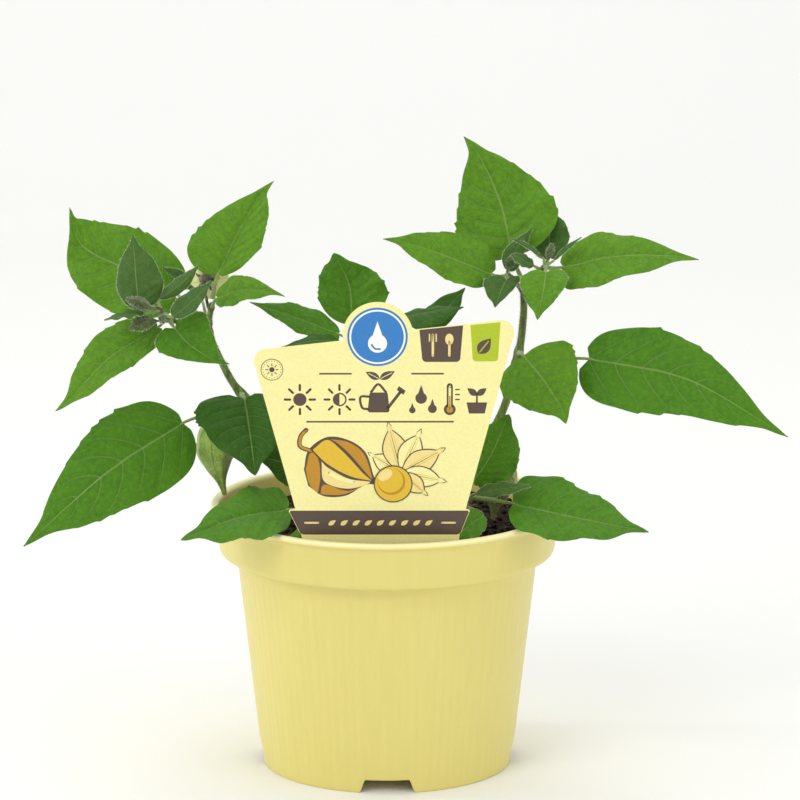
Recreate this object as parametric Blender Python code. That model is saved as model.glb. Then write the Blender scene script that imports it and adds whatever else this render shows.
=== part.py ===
"""A young physalis (ground cherry) plant in its plastic nursery pot, with a plant label.

Three leafy shoots and two low side shoots stand on the soil of a 12 cm pot. They carry heart-shaped
leaves, flower buds, one open flower and two green husks, each husk with its berry out of sight inside.
Written in metres, +Z up. Tables are in millimetres from the pot's axis at the level of its feet.
"""
from dataclasses import dataclass
from math import cos, pi, radians, sin

import bmesh
import bpy
from mathutils import Matrix, Vector

MM = 0.001
GAP = 0.3               # kept between pieces that touch

# The pot: a moulded cup with a deep rim band, a raised floor and notched feet.
POT_AXIS_X = -6.5       # puts the middle of the whole plant's box over the origin
POT_HEIGHT = 90.6
LIP_RADIUS = 60.0
BAND_FOOT_RADIUS = 57.0
BAND_FOOT_Z = 74.3
BODY_TOP_RADIUS = 51.4
BASE_RADIUS = 42.9
WALL = 1.2
FLOOR_Z = 5.2
POT_SIDES = 56
NOTCH_COUNT = 4
NOTCH_WIDTH = 17.0
NOTCH_HEIGHT = 4.5
HOLE_COUNT = 8
HOLE_RADIUS = 3.5
HOLE_RING = 28.0

# The soil and the crown of shoots on it.
SOIL_Z = 82.6
CROWN_Z = 85.0

# The label: one flat card whose stake goes down into the soil just inside the rim.
CARD_Y = -47.5          # at the card's foot
CARD_FOOT_Z = 91.0
CARD_LEAN = 3.5         # degrees that the top leans outward, so that the stake clears the pot's wall
CARD_THICK = 0.6
STAKE_HALF = 4.5
STAKE_FOOT_Z = 46.0
STAKE_X = -2.0

# Leaves: a thick enough blade to be a solid, on a leaf stalk of the same piece.
BLADE_THICK = 0.6
STALK_HALF = 0.6
STALK_THICK = 0.9


def linear(hex_colour):
    """Turn an sRGB hex colour into the linear values that a shader takes."""
    parts = [int(hex_colour[i:i + 2], 16) / 255 for i in (1, 3, 5)]
    return [c / 12.92 if c <= 0.04045 else ((c + 0.055) / 1.055) ** 2.4 for c in parts] + [1.0]


def material(name, hex_colour, roughness):
    surface = bpy.data.materials.new(name)
    surface.use_nodes = True
    shader = surface.node_tree.nodes["Principled BSDF"]
    shader.inputs["Base Color"].default_value = linear(hex_colour)
    shader.inputs["Roughness"].default_value = roughness
    shader.inputs["Metallic"].default_value = 0.0
    return surface


def finish(mesh, name, surface, plant, sharp=40):
    """Turn the faces outward, scale to metres and hang the piece on the plant's empty."""
    bmesh.ops.recalc_face_normals(mesh, faces=mesh.faces)
    bmesh.ops.scale(mesh, vec=(MM, MM, MM), verts=mesh.verts)
    data = bpy.data.meshes.new(name)
    mesh.to_mesh(data)
    mesh.free()
    data.shade_smooth()
    data.set_sharp_from_angle(angle=radians(sharp))
    data.materials.append(surface)
    piece = bpy.data.objects.new(name, data)
    bpy.context.collection.objects.link(piece)
    piece.parent = plant
    return piece


def cut(piece, tool, operation="DIFFERENCE"):
    """Add or take away a second piece, which then stays only as a hidden guide."""
    tool.hide_render = True
    tool.display_type = "WIRE"
    step = piece.modifiers.new(tool.name, "BOOLEAN")
    step.operation = operation
    step.object = tool


def smooth_point(points, at):
    """A point on the smooth curve through hand-placed points, with at from 0 to 1."""
    place = min(max(at, 0.0), 1.0) * (len(points) - 1)
    i = min(int(place), len(points) - 2)
    t = place - i
    b, c = Vector(points[i]), Vector(points[i + 1])
    a = Vector(points[i - 1]) if i > 0 else 2 * b - c
    d = Vector(points[i + 2]) if i + 2 < len(points) else 2 * c - b
    return 0.5 * (2 * b + (c - a) * t + (2 * a - 5 * b + 4 * c - d) * t * t + (3 * b - a - 3 * c + d) * t ** 3)


def skin_rows(mesh, rows):
    """Join closed rings of points into one closed body with flat ends."""
    rings = [[mesh.verts.new(p) for p in row] for row in rows]
    for low, high in zip(rings, rings[1:]):
        for k in range(len(low)):
            after = (k + 1) % len(low)
            mesh.faces.new((low[k], low[after], high[after], high[k]))
    mesh.faces.new(rings[0])
    mesh.faces.new(rings[-1])


def tube_rows(points, radii, stations, sides):
    """Rings of a round tube along a smooth route; the radii are spread evenly over its length."""
    rows = []
    side = None
    for i in range(stations + 1):
        at = i / stations
        here = smooth_point(points, at)
        ahead = (smooth_point(points, at + 0.01) - smooth_point(points, at - 0.01)).normalized()
        if side is None:
            side = ahead.orthogonal().normalized()
        side = (side - ahead * side.dot(ahead)).normalized()
        other = ahead.cross(side)
        place = at * (len(radii) - 1)
        k = min(int(place), len(radii) - 2)
        radius = radii[k] + (radii[k + 1] - radii[k]) * (place - k)
        turns = [2 * pi * s / sides for s in range(sides)]
        rows.append([here + radius * (cos(a) * side + sin(a) * other) for a in turns])
    return rows


# ---- pot and soil -------------------------------------------------------------------------------

def turned(mesh, profile, sides):
    """Spin a profile of (radius, height) points that starts and ends on the axis."""
    corners = [mesh.verts.new((r, 0, z)) for r, z in profile]
    edges = [mesh.edges.new(pair) for pair in zip(corners, corners[1:])]
    bmesh.ops.spin(mesh, geom=corners + edges, cent=(0, 0, 0), axis=(0, 0, 1), angle=2 * pi, steps=sides,
                   use_merge=True)
    bmesh.ops.remove_doubles(mesh, verts=mesh.verts, dist=0.001)


def pot_profile():
    slope = (BODY_TOP_RADIUS - BASE_RADIUS) / BAND_FOOT_Z
    floor_top = FLOOR_Z + WALL
    return [
        (0, FLOOR_Z), (BASE_RADIUS - WALL + slope * FLOOR_Z, FLOOR_Z), (BASE_RADIUS - WALL, 0),
        (BASE_RADIUS - 0.5, 0), (BASE_RADIUS, 0.6), (BODY_TOP_RADIUS, BAND_FOOT_Z),
        (BAND_FOOT_RADIUS - 0.5, BAND_FOOT_Z), (BAND_FOOT_RADIUS, BAND_FOOT_Z + 0.6),
        (LIP_RADIUS - 1.4, POT_HEIGHT - 2.2), (LIP_RADIUS - 0.3, POT_HEIGHT - 1.7),
        (LIP_RADIUS, POT_HEIGHT - 0.9), (LIP_RADIUS - 0.5, POT_HEIGHT), (LIP_RADIUS - 2.4, POT_HEIGHT),
        (LIP_RADIUS - 3.0, POT_HEIGHT - 0.8), (BAND_FOOT_RADIUS - WALL, BAND_FOOT_Z + WALL + 0.5),
        (BAND_FOOT_RADIUS - WALL - 0.5, BAND_FOOT_Z + WALL), (BODY_TOP_RADIUS - WALL, BAND_FOOT_Z + WALL),
        (BASE_RADIUS - WALL + slope * floor_top, floor_top),
        (0, floor_top),
    ]


def notch_tool(plant, surface):
    """Notches between the feet, wider at the floor, with the round drainage holes."""
    mesh = bmesh.new()
    for n in range(NOTCH_COUNT):
        turn = Matrix.Rotation(2 * pi * n / NOTCH_COUNT, 4, "Z")
        low, high = NOTCH_WIDTH / 2 + 1.4, NOTCH_WIDTH / 2
        ends = [(-low, -3), (low, -3), (high, NOTCH_HEIGHT), (-high, NOTCH_HEIGHT)]
        skin_rows(mesh, [[turn @ Vector((x, y, z)) for x, z in ends] for y in (-BASE_RADIUS - 3, -BASE_RADIUS + 4)])
    for n in range(HOLE_COUNT):
        turn = 2 * pi * (n + 0.5) / HOLE_COUNT
        where = Matrix.Translation((HOLE_RING * cos(turn), HOLE_RING * sin(turn), FLOOR_Z + WALL / 2))
        bmesh.ops.create_cone(mesh, cap_ends=True, segments=12, radius1=HOLE_RADIUS, radius2=HOLE_RADIUS,
                              depth=4 * WALL, matrix=where)
    return finish(mesh, "notch_tool", surface, plant)


def make_pot(plant):
    surface = material("moulded yellow polypropylene", "#E4DA80", 0.4)
    mesh = bmesh.new()
    turned(mesh, pot_profile(), POT_SIDES)
    pot = finish(mesh, "pot", surface, plant)
    cut(pot, notch_tool(plant, surface))


def make_soil(plant):
    """Potting soil that fills the pot to below the rim, with a low uneven top."""
    surface = material("dark peat", "#2A2019", 0.95)
    wall = WALL + 0.5
    slope = (BODY_TOP_RADIUS - BASE_RADIUS) / BAND_FOOT_Z
    foot = FLOOR_Z + WALL + GAP
    edge = BAND_FOOT_RADIUS - wall + 0.4
    profile = [
        (0, foot), (BASE_RADIUS - wall + slope * foot, foot), (BODY_TOP_RADIUS - wall, BAND_FOOT_Z + WALL + GAP),
        (BAND_FOOT_RADIUS - wall - 0.3, BAND_FOOT_Z + WALL + 0.8), (edge, SOIL_Z - 1.2), (48, SOIL_Z), (36, SOIL_Z + 0.4),
        (22, SOIL_Z + 0.3), (8, SOIL_Z + 0.2), (0, SOIL_Z + 0.2),
    ]
    mesh = bmesh.new()
    turned(mesh, profile, 32)
    for v in mesh.verts:
        if v.co.z > SOIL_Z - 0.2 and v.co.xy.length > 15:
            v.co.z += 0.5 * sin(v.co.x * 0.4) * cos(v.co.y * 0.31 + 1)
    soil = finish(mesh, "soil", surface, plant)
    slot = bmesh.new()
    size = Matrix.Diagonal((2 * STAKE_HALF + 1.2, CARD_THICK + 1.0, 2 * (CARD_FOOT_Z - STAKE_FOOT_Z + 1), 1))
    where = Matrix.Translation((STAKE_X, CARD_Y, CARD_FOOT_Z))
    lean = Matrix.Rotation(radians(CARD_LEAN), 4, "X")
    bmesh.ops.create_cube(slot, size=1, matrix=where @ lean @ size)
    cut(soil, finish(slot, "stake_slot", surface, plant))


# ---- label --------------------------------------------------------------------------------------

def rounded(corners):
    """An outline of (x, z, radius) corners, each rounded by an arc that touches both of its sides."""
    outline = []
    for k, (x, z, radius) in enumerate(corners):
        here = Vector((x, z))
        to_last = (Vector(corners[k - 1][:2]) - here).normalized()
        to_next = (Vector(corners[(k + 1) % len(corners)][:2]) - here).normalized()
        half = to_last.angle(to_next) / 2
        if radius == 0:
            outline.append(here)
            continue
        reach = radius / abs(sin(half)) * cos(half)
        centre = here + (to_last + to_next).normalized() * radius / sin(half)
        first, last = here + to_last * reach - centre, here + to_next * reach - centre
        for step in range(5):
            outline.append(centre + first.lerp(last, step / 4).normalized() * radius)
    return outline


def card_outline():
    """The card: a foot band, sides that flare upward, and a round bump in its sloping top edge."""
    bump_x, bump_z, bump_radius = -3.0, 159.0, 11.6
    right = rounded([(STAKE_X + STAKE_HALF, STAKE_FOOT_Z + 8, 0), (STAKE_X + STAKE_HALF, 91.0, 0),
                     (24.2, 91.0, 2.0), (27.4, 99.5, 0.4), (26.0, 99.9, 0), (42.9, 165.0, 4.0), (8.2, 161.2, 0)])
    bump = [Vector((bump_x + bump_radius * cos(radians(a)), bump_z + bump_radius * sin(radians(a))))
            for a in range(24, 180, 12)]
    left = rounded([(-14.4, 157.6, 0), (-44.6, 154.2, 4.0), (-30.3, 99.9, 0), (-32.6, 99.5, 0.4),
                    (-28.6, 91.0, 2.0), (STAKE_X - STAKE_HALF, 91.0, 0), (STAKE_X - STAKE_HALF, STAKE_FOOT_Z + 8, 0),
                    (STAKE_X, STAKE_FOOT_Z, 0)])
    return right + bump + left


def make_label(plant):
    surface = material("printed polystyrene card", "#F7EFA0", 0.45)
    mesh = bmesh.new()
    outline = card_outline()
    lean = Matrix.Translation((0, CARD_Y, CARD_FOOT_Z)) @ Matrix.Rotation(radians(CARD_LEAN), 4, "X")
    faces = (-CARD_THICK / 2, CARD_THICK / 2)
    skin_rows(mesh, [[lean @ Vector((p.x, y, p.y - CARD_FOOT_Z)) for p in outline] for y in faces])
    finish(mesh, "plant_label", surface, plant)


# ---- shoots -------------------------------------------------------------------------------------

# Each shoot: its route from the crown, and its radius at the foot and at the tip.
SHOOTS = {
    "left": ([(-6, 4, CROWN_Z), (-25, 2, 106), (-48, -1, 127), (-56, -2, 140), (-60, -2, 151), (-59, 0, 160)], 1.6, 0.9),
    "left_twig": ([(-60, -2, 150), (-66, -8, 153), (-73, -13, 157), (-77, -14, 161)], 0.9, 0.7),
    "right": ([(12, 4, CROWN_Z), (25, 3, 100), (38, 2, 119), (44, 1, 140), (46, 0, 154), (46, 0, 166)], 1.6, 1.1),
    "right_inner_twig": ([(46, 0, 163), (43, -4, 168), (40, -8, 171)], 0.9, 0.7),
    "right_outer_twig": ([(46, 0, 164), (50, -5, 170), (53, -9, 174)], 0.9, 0.7),
    "back": ([(0, 9, CROWN_Z), (-6, 13, 105), (-10, 17, 128), (-10, 18, 143)], 1.4, 0.9),
    "left_low": ([(-9, -2, CROWN_Z), (-20, -12, 88), (-28, -22, 91)], 1.2, 0.8),
    "right_low": ([(10, -5, CROWN_Z), (21, -13, 91), (28, -20, 97)], 1.2, 0.8),
}
TWIGS = {"left": ["left_twig"], "right": ["right_inner_twig", "right_outer_twig"]}


def on_shoot(shoot, at, toward, clear):
    """The point beside a shoot where a stalk starts, on the side of the shoot that it grows towards."""
    route, foot_radius, tip_radius = SHOOTS[shoot]
    here = smooth_point(route, at)
    ahead = (smooth_point(route, at + 0.01) - smooth_point(route, at - 0.01)).normalized()
    away = Vector(toward) - here
    if at < 1:
        away -= ahead * away.dot(ahead)
    radius = foot_radius + (tip_radius - foot_radius) * at
    return here + away.normalized() * (radius + clear)


def shoot_mesh(shoot):
    route, foot_radius, tip_radius = SHOOTS[shoot]
    mesh = bmesh.new()
    skin_rows(mesh, tube_rows(route, [foot_radius, tip_radius], 4 * (len(route) - 1), 8))
    return mesh


def make_shoots(plant):
    surface = material("green herb stem", "#5B7A34", 0.6)
    joined = [twig for twigs in TWIGS.values() for twig in twigs]
    for shoot in SHOOTS:
        if shoot in joined:
            continue
        stem = finish(shoot_mesh(shoot), shoot + "_shoot", surface, plant)
        for twig in TWIGS.get(shoot, []):
            cut(stem, finish(shoot_mesh(twig), twig, surface, plant), "UNION")


# ---- leaves -------------------------------------------------------------------------------------

@dataclass
class Leaf:
    """One blade: its midrib from base to tip, and how far each half spreads where it is widest.

    left and right are as seen from the upper face with the tip up. widest is the fraction of the midrib
    where the blade is broadest, heart is how far its lobes reach back past the base, and a slender blade
    is the more drawn out at both ends.
    """
    name: str
    shoot: str
    at: float
    rib: list
    left: tuple
    right: tuple
    widest: float
    heart: float
    slender: float = 1.5


LEAVES = [
    Leaf("left_back_leaf", "left", 0.84, [(-74, 21, 160), (-90, 24, 167), (-104, 27, 174), (-109, 27, 186)],
         (-7, -4, -13), (5, 4, 12.5), 0.30, 2),
    Leaf("left_top_leaf", "left", 1.0, [(-57, 2, 169), (-50, 6, 183), (-40, 8, 200)],
         (-13.5, 2, 2.5), (10.5, -4, 2), 0.30, 1),
    Leaf("left_inner_leaf", "left", 0.96, [(-57, -4, 162), (-48, -10, 166), (-34, -16, 166)],
         (0.5, 3, 5), (0, -6, -3), 0.28, 1),
    Leaf("left_behind_leaf", "left", 0.78, [(-64, 15, 160.5), (-70, 15.5, 164.5), (-77, 16, 169)],
         (1.5, -1, -2.5), (0.5, 1, 3), 0.35, 0),
    Leaf("left_heart_leaf", "left_twig", 0.66, [(-71, -15, 154), (-66, -18, 149), (-54, -22, 142)],
         (8.5, 0, 7), (-7.5, -2, -4.5), 0.25, 2),
    Leaf("left_drooping_leaf", "left_twig", 0.75, [(-77, -9, 153), (-94, -15, 143), (-110, -22, 126)],
         (4.5, -5, -4), (-6, 3, 6), 0.33, 1),
    Leaf("left_young_leaf", "left_twig", 1.0, [(-83, -15, 161.5), (-84, -13, 172.5), (-85, -9, 184.5)],
         (-6.5, 2, -1), (8.5, 4, -1), 0.35, 1),
    Leaf("left_narrow_leaf", "left_twig", 0.93, [(-76, -10, 163), (-69, -9, 168), (-63, -7, 174)],
         (-2, 3, 1), (2, 0, -1.5), 0.38, 0),
    Leaf("left_small_leaf", "left_twig", 0.8, [(-71, -22, 159.5), (-65, -22, 164.5), (-58, -19, 171)],
         (-2.5, 2, 2.5), (2.5, -2, -1.5), 0.35, 0.5),
    Leaf("left_edge_leaf", "left_twig", 0.9, [(-81, -19, 160), (-87, -22, 160), (-94, -25, 159)],
         (0.5, -6, 0), (-0.5, 7, 0), 0.35, 0),
    Leaf("left_big_leaf", "left", 0.38, [(-69, -4, 119), (-94, -22, 106), (-121, -40, 85)],
         (10, -4, -12.5), (-10, 6, 11), 0.28, 1),
    Leaf("left_dark_leaf", "left", 0.42, [(-48, -8, 128), (-46, -18, 119), (-44, -30, 107)],
         (12.5, -1, 2), (-17, -6, 1.5), 0.28, 2, 1.2),
    Leaf("label_back_leaf", "left", 0.18, [(-18, -4, 103), (-29, -8, 105), (-43, -12, 109)],
         (0, -5, -8), (0, 4, 9.5), 0.45, 0, 1.2),
    Leaf("left_rim_leaf", "left_low", 1.0, [(-33, -29, 95), (-49, -42, 95.5), (-68, -54, 91)],
         (2, -17, -4), (-1.5, 12, 6), 0.30, 1, 1.3),
    Leaf("front_rim_leaf", "left_low", 0.7, [(-14, -32, 93), (-23, -37, 91), (-34, -43, 88.5)],
         (0.5, -3, -2), (-1.5, 5, 2), 0.35, 0),
    Leaf("back_upper_leaf", "back", 1.0, [(-12, 24, 149), (-13, 28, 160), (-18, 30, 171)],
         (-11, 2, 0), (12.5, -2, 2), 0.35, 2, 1.3),
    Leaf("back_left_leaf", "back", 0.98, [(-17, 19, 145), (-31, 22, 150), (-47, 24, 155)],
         (0, -5, -4), (0.5, 5, 4), 0.30, 1),
    Leaf("back_low_leaf", "back", 0.86, [(-16, 10, 144), (-25, 8, 145), (-36, 6, 143)],
         (0, -6, -1), (0, 7, 0.5), 0.35, 0),
    Leaf("back_right_leaf", "back", 0.97, [(11, 26, 144), (20, 30, 151), (27, 34, 158)],
         (-4, 2, 2.5), (3, -2, -2.5), 0.38, 0),
    Leaf("back_flat_leaf", "back", 0.90, [(4, 13, 152), (15, 13, 154), (26, 11, 156)],
         (0, 5, 0.5), (0, -8, -3.5), 0.35, 0),
    Leaf("right_top_leaf", "right", 1.0, [(42, 6, 176), (38, 10, 193), (28, 12, 215)],
         (-16.5, 3, -5), (17, -2, 6), 0.27, 2),
    Leaf("right_behind_leaf", "right_outer_twig", 0.7, [(55, 8, 174), (55, 9, 182), (56, 7, 190)],
         (-6, 2, -2), (6.5, -2, 0), 0.40, 1, 1.3),
    Leaf("right_outer_leaf", "right_outer_twig", 0.92, [(59, -6, 173), (78, -12, 178), (104, -18, 179)],
         (0, 6, 7.5), (-2.5, -8, -8), 0.28, 1),
    Leaf("right_inner_leaf", "right_inner_twig", 0.85, [(35, -8, 171), (18, -14, 179), (-1, -18, 186)],
         (-2, -5, -6), (3, 5, 7.5), 0.28, 1),
    Leaf("right_small_heart_leaf", "right_inner_twig", 1.0, [(40, -13, 170), (38, -17, 167), (36, -20, 162)],
         (5, 0, 1), (-6.5, 0, 1.5), 0.25, 1.5, 1.2),
    Leaf("right_heart_leaf", "right_outer_twig", 1.0, [(53, -16, 173), (52, -22, 168), (50, -26, 159)],
         (7.5, 0, 1), (-8, 0, 0.5), 0.28, 1.5, 1.3),
    Leaf("right_dark_leaf", "right_outer_twig", 0.8, [(49, -11, 174.5), (45, -12.5, 177), (41, -14, 179)],
         (-0.5, -3, -1.5), (1, 3, 1), 0.40, 0),
    Leaf("right_tiny_leaf", "right_inner_twig", 0.7, [(41, 0, 171), (43, 1, 177), (49, 2, 185)],
         (-3, 1, 1), (3, 0, -1.5), 0.35, 0.5),
    Leaf("right_needle_left_leaf", "right_outer_twig", 1.0, [(52, -9, 177), (47, -10, 181), (41, -11, 184)],
         (-0.3, -1, -0.5), (0.3, 1, 0.5), 0.40, 0),
    Leaf("right_needle_right_leaf", "right_outer_twig", 1.0, [(56, -9, 176), (60, -9, 180), (65, -10, 184)],
         (-0.3, 1, 0.5), (0.3, -1, -0.5), 0.40, 0),
    Leaf("right_middle_leaf", "right", 0.63, [(46, -10, 143.5), (53, -18, 136), (61, -26, 124.5)],
         (12, 2, 7.5), (-11, -5, -7), 0.28, 0.5, 1.3),
    Leaf("right_big_leaf", "right", 0.58, [(68, -6, 141.5), (101, -16, 136.5), (134, -26, 119)],
         (5, 6, 12), (-5.5, -7, -13), 0.25, 2),
    Leaf("label_right_leaf", "right_low", 0.9, [(29, -19, 102), (35, -17, 111), (41, -13, 124)],
         (-8.5, 2, 3.5), (9, -1, -3.5), 0.40, 1, 1.3),
    Leaf("right_low_narrow_leaf", "right_low", 0.95, [(30, -27, 100), (38, -31, 102.5), (48, -35, 104.5)],
         (-0.5, 3, 1.5), (0.5, -3, -1.5), 0.40, 0),
    Leaf("right_rim_leaf", "right_low", 1.0, [(42, -29, 97), (63, -45, 96), (86, -58, 94.5)],
         (2.5, 13, 8.5), (-2.5, -13, -5.5), 0.25, 1, 1.3),
    Leaf("front_right_leaf", "right_low", 0.8, [(32, -35, 94), (27, -38, 91.5), (22, -41, 88)],
         (2, -5, -3), (-2.5, 4, 3), 0.35, 1),
]
BLADE_STATIONS = (0.015, 0.07, 0.2, 0.4, 0.6, 0.8, 0.93, 1.0)
ACROSS = (-1, -0.5, 0, 0.5, 1)


def blade_width(u, widest, slender):
    """Half-width from 0 to 1 along the midrib: a round base, broadest at widest, a drawn-out tip."""
    return (u / widest) ** (slender * widest) * ((1 - u) / (1 - widest)) ** (slender * (1 - widest))


def leaf_rows(leaf):
    """Centre lines of the leaf, from the foot of its stalk to its tip, five points across each."""
    rib = [Vector(p) for p in leaf.rib]
    foot = on_shoot(leaf.shoot, leaf.at, rib[0], GAP + STALK_HALF)
    route = [foot, rib[0]] + rib[1:]
    rows = []
    for at in (0.0, 0.55):
        here = smooth_point(route, at / (len(route) - 1))
        ahead = smooth_point(route, (at + 0.05) / (len(route) - 1)) - here
        across = Vector(leaf.right) - Vector(leaf.left)
        across -= ahead * across.dot(ahead) / ahead.length_squared
        rows.append([here + across.normalized() * STALK_HALF * v for v in ACROSS])
    for u in BLADE_STATIONS:
        here = smooth_point(rib, u)
        ahead = (smooth_point(rib, min(u + 0.02, 1)) - smooth_point(rib, max(u - 0.02, 0))).normalized()
        width = max(blade_width(u, leaf.widest, leaf.slender), 0.02)
        back = ahead * leaf.heart * (1 - u) ** 6
        row = []
        for v in ACROSS:
            spread = Vector(leaf.right) if v > 0 else Vector(leaf.left)
            row.append(here + spread * width * abs(v) - back * abs(v))
        rows.append(row)
    return rows


def make_leaf(leaf, plant, surface):
    rows = leaf_rows(leaf)
    stalk_rows = len(rows) - len(BLADE_STATIONS)
    rings = []
    for i, row in enumerate(rows):
        thick = STALK_THICK if i < stalk_rows else BLADE_THICK
        top, under = [], []
        for j, p in enumerate(row):
            ahead = rows[min(i + 1, len(rows) - 1)][j] - rows[max(i - 1, 0)][j]
            across = row[min(j + 1, 4)] - row[max(j - 1, 0)]
            up = across.cross(ahead).normalized()
            top.append(p + up * thick / 2)
            under.append(p - up * thick / 2)
        rings.append(top + under[::-1])
    mesh = bmesh.new()
    skin_rows(mesh, rings)
    finish(mesh, leaf.name, surface, plant)


def make_leaves(plant):
    surface = material("leaf", "#4A8A1E", 0.55)
    for leaf in LEAVES:
        make_leaf(leaf, plant, surface)


# ---- husks, buds and flower ---------------------------------------------------------------------

# Each fruit or bud: its shoot, where on it, the route of its stalk and body, and the radii along that.
HUSK_SHAPE = [0.6, 0.6, 0.9, 5.0, 6.6, 6.9, 6.0, 4.0, 1.6, 0.7]
LONG_BUD = [0.5, 0.5, 0.6, 1.9, 2.2, 1.5, 0.3]
ROUND_BUD = [0.4, 0.4, 0.5, 2.2, 2.8, 2.2, 0.5]
SMALL_BUD = [0.4, 0.4, 1.2, 1.7, 1.2, 0.4]
FRUITS = {
    "left_husk": ("left", 0.36, [(-58, 6, 116), (-58.5, 6, 109), (-58, 6, 102), (-55.5, 6, 91.5)], HUSK_SHAPE, 18, 12),
    "right_husk": ("right", 0.30, [(37, -6, 106), (37.5, -6, 101), (37, -6, 94.5), (36, -6, 86)], HUSK_SHAPE, 18, 12),
    "long_bud": ("left_twig", 1.0, [(-79, -19, 162), (-83, -21, 164), (-87, -22, 165.5)], LONG_BUD, 12, 8),
    "round_bud": ("left_twig", 0.6, [(-77, -15, 156.5), (-82, -17, 156), (-86, -18, 154.5)], ROUND_BUD, 12, 8),
    "small_round_bud": ("left_twig", 0.84, [(-75, -17.5, 158), (-74.5, -20.5, 157)], SMALL_BUD, 8, 8),
    "under_bud": ("left_twig", 0.6, [(-71, -5, 149), (-71, -5, 142)], SMALL_BUD, 8, 8),
    "right_tall_bud": ("right_outer_twig", 1.0, [(54.5, -5.5, 177.5), (55.5, -5, 181)], SMALL_BUD, 8, 8),
    "right_inner_bud": ("right_inner_twig", 1.0, [(41, -9, 174.5), (42, -9, 177.5)], SMALL_BUD, 8, 8),
}
FLOWER_CENTRE = (-61, 5.5, 166.5)
FLOWER_FACE = (0.25, 0.95, 0.1)
COROLLA_RADIUS = 7.3
COROLLA_DEPTH = 3.0


def make_fruits(plant):
    husk = material("papery green husk", "#A8BC6A", 0.7)
    bud = material("hairy bud", "#4E5A38", 0.8)
    for name, (shoot, at, route, shape, stations, sides) in FRUITS.items():
        foot = on_shoot(shoot, at, route[0], GAP + shape[0])
        mesh = bmesh.new()
        skin_rows(mesh, tube_rows([foot] + route, shape, stations, sides))
        finish(mesh, name, husk if shape is HUSK_SHAPE else bud, plant)


def make_flower(plant):
    """A shallow five-cornered bell that faces away, with its calyx behind it."""
    face = Vector(FLOWER_FACE).normalized()
    centre = Vector(FLOWER_CENTRE)
    foot = on_shoot("left", 0.95, centre - 4 * face, GAP + 0.5)
    calyx = bmesh.new()
    route = [foot, centre - 3.5 * face, centre - 0.5 * face]
    skin_rows(calyx, tube_rows(route, [0.5, 0.5, 1.0, 2.0, 1.8], 6, 8))
    finish(calyx, "flower_calyx", material("hairy calyx", "#4A4638", 0.8), plant)
    side = face.orthogonal().normalized()
    other = face.cross(side)
    rings = []
    for radius, depth in ((1.0, 0.0), (COROLLA_RADIUS, COROLLA_DEPTH), (COROLLA_RADIUS, COROLLA_DEPTH + 0.6), (1.0, 0.7)):
        ring = []
        for k in range(20):
            turn = 2 * pi * k / 20
            reach = radius * (1 + 0.06 * cos(5 * turn) * (radius > 2))
            ring.append(centre + face * (depth + GAP) + reach * (cos(turn) * side + sin(turn) * other))
        rings.append(ring)
    corolla = bmesh.new()
    skin_rows(corolla, rings)
    finish(corolla, "flower_corolla", material("pale yellow petals", "#E3E3A0", 0.6), plant)


def main():
    for old in list(bpy.data.objects):
        bpy.data.objects.remove(old, do_unlink=True)
    plant = bpy.data.objects.new("plant", None)
    bpy.context.collection.objects.link(plant)
    plant.location = (POT_AXIS_X * MM, 0, 0)
    make_pot(plant)
    make_soil(plant)
    make_label(plant)
    make_shoots(plant)
    make_leaves(plant)
    make_fruits(plant)
    make_flower(plant)


main()
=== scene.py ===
"""A young physalis plant in its nursery pot, with a plant label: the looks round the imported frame.

Tables are in millimetres from the pot's axis at the level of its feet, and place() turns them to metres.
"""
from dataclasses import dataclass
from math import cos, exp, pi, radians, sin
from random import Random

import bmesh
import bpy
from bpy.props import FloatProperty, FloatVectorProperty, IntProperty, PointerProperty
from bpy.types import Operator, Panel, PropertyGroup
from mathutils import Matrix, Vector, noise


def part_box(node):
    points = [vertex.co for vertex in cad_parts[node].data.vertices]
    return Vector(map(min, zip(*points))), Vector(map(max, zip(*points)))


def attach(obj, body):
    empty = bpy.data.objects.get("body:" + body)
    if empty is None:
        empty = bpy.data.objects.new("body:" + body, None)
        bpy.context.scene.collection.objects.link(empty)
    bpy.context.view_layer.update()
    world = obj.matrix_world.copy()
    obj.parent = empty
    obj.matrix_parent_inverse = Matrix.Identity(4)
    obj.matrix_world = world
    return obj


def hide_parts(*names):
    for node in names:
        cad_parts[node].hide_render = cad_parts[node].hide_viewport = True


bl_info = {
    "name": "Potted physalis",
    "version": (1, 0, 0),
    "blender": (4, 5, 0),
    "location": "3D View > Sidebar > Physalis",
    "description": "Builds a young physalis plant with its leaves, husks, flower, pot and plant label",
    "category": "Object",
}

MM = 0.001
SEED = 41
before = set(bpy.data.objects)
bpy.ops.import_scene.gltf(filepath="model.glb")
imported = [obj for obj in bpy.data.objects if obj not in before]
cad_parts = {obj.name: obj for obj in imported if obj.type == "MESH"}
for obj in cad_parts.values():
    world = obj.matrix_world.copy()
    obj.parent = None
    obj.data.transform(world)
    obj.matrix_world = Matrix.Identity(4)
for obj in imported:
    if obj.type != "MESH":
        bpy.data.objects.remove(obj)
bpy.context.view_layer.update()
POT_LOW, POT_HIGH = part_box("pot")
POT_FOOT = Vector(((POT_LOW.x + POT_HIGH.x) / 2, (POT_LOW.y + POT_HIGH.y) / 2, POT_LOW.z))
POT_HEIGHT = (POT_HIGH.z - POT_LOW.z) / MM
LIP_RADIUS = (POT_HIGH.x - POT_LOW.x) / 2 / MM

# The pot's other sizes.
BAND_FOOT_RADIUS = 57.0
BAND_FOOT_Z = 74.3
BODY_TOP_RADIUS = 51.4
BASE_RADIUS = 42.9
WALL = 1.2
FLOOR_Z = 5.2
NOTCH_COUNT = 4
HOLE_COUNT = 8
HOLE_RADIUS = 3.5
HOLE_RING = 28.0
SOIL_Z = 82.6
CROWN_Z = 85.0

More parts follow.
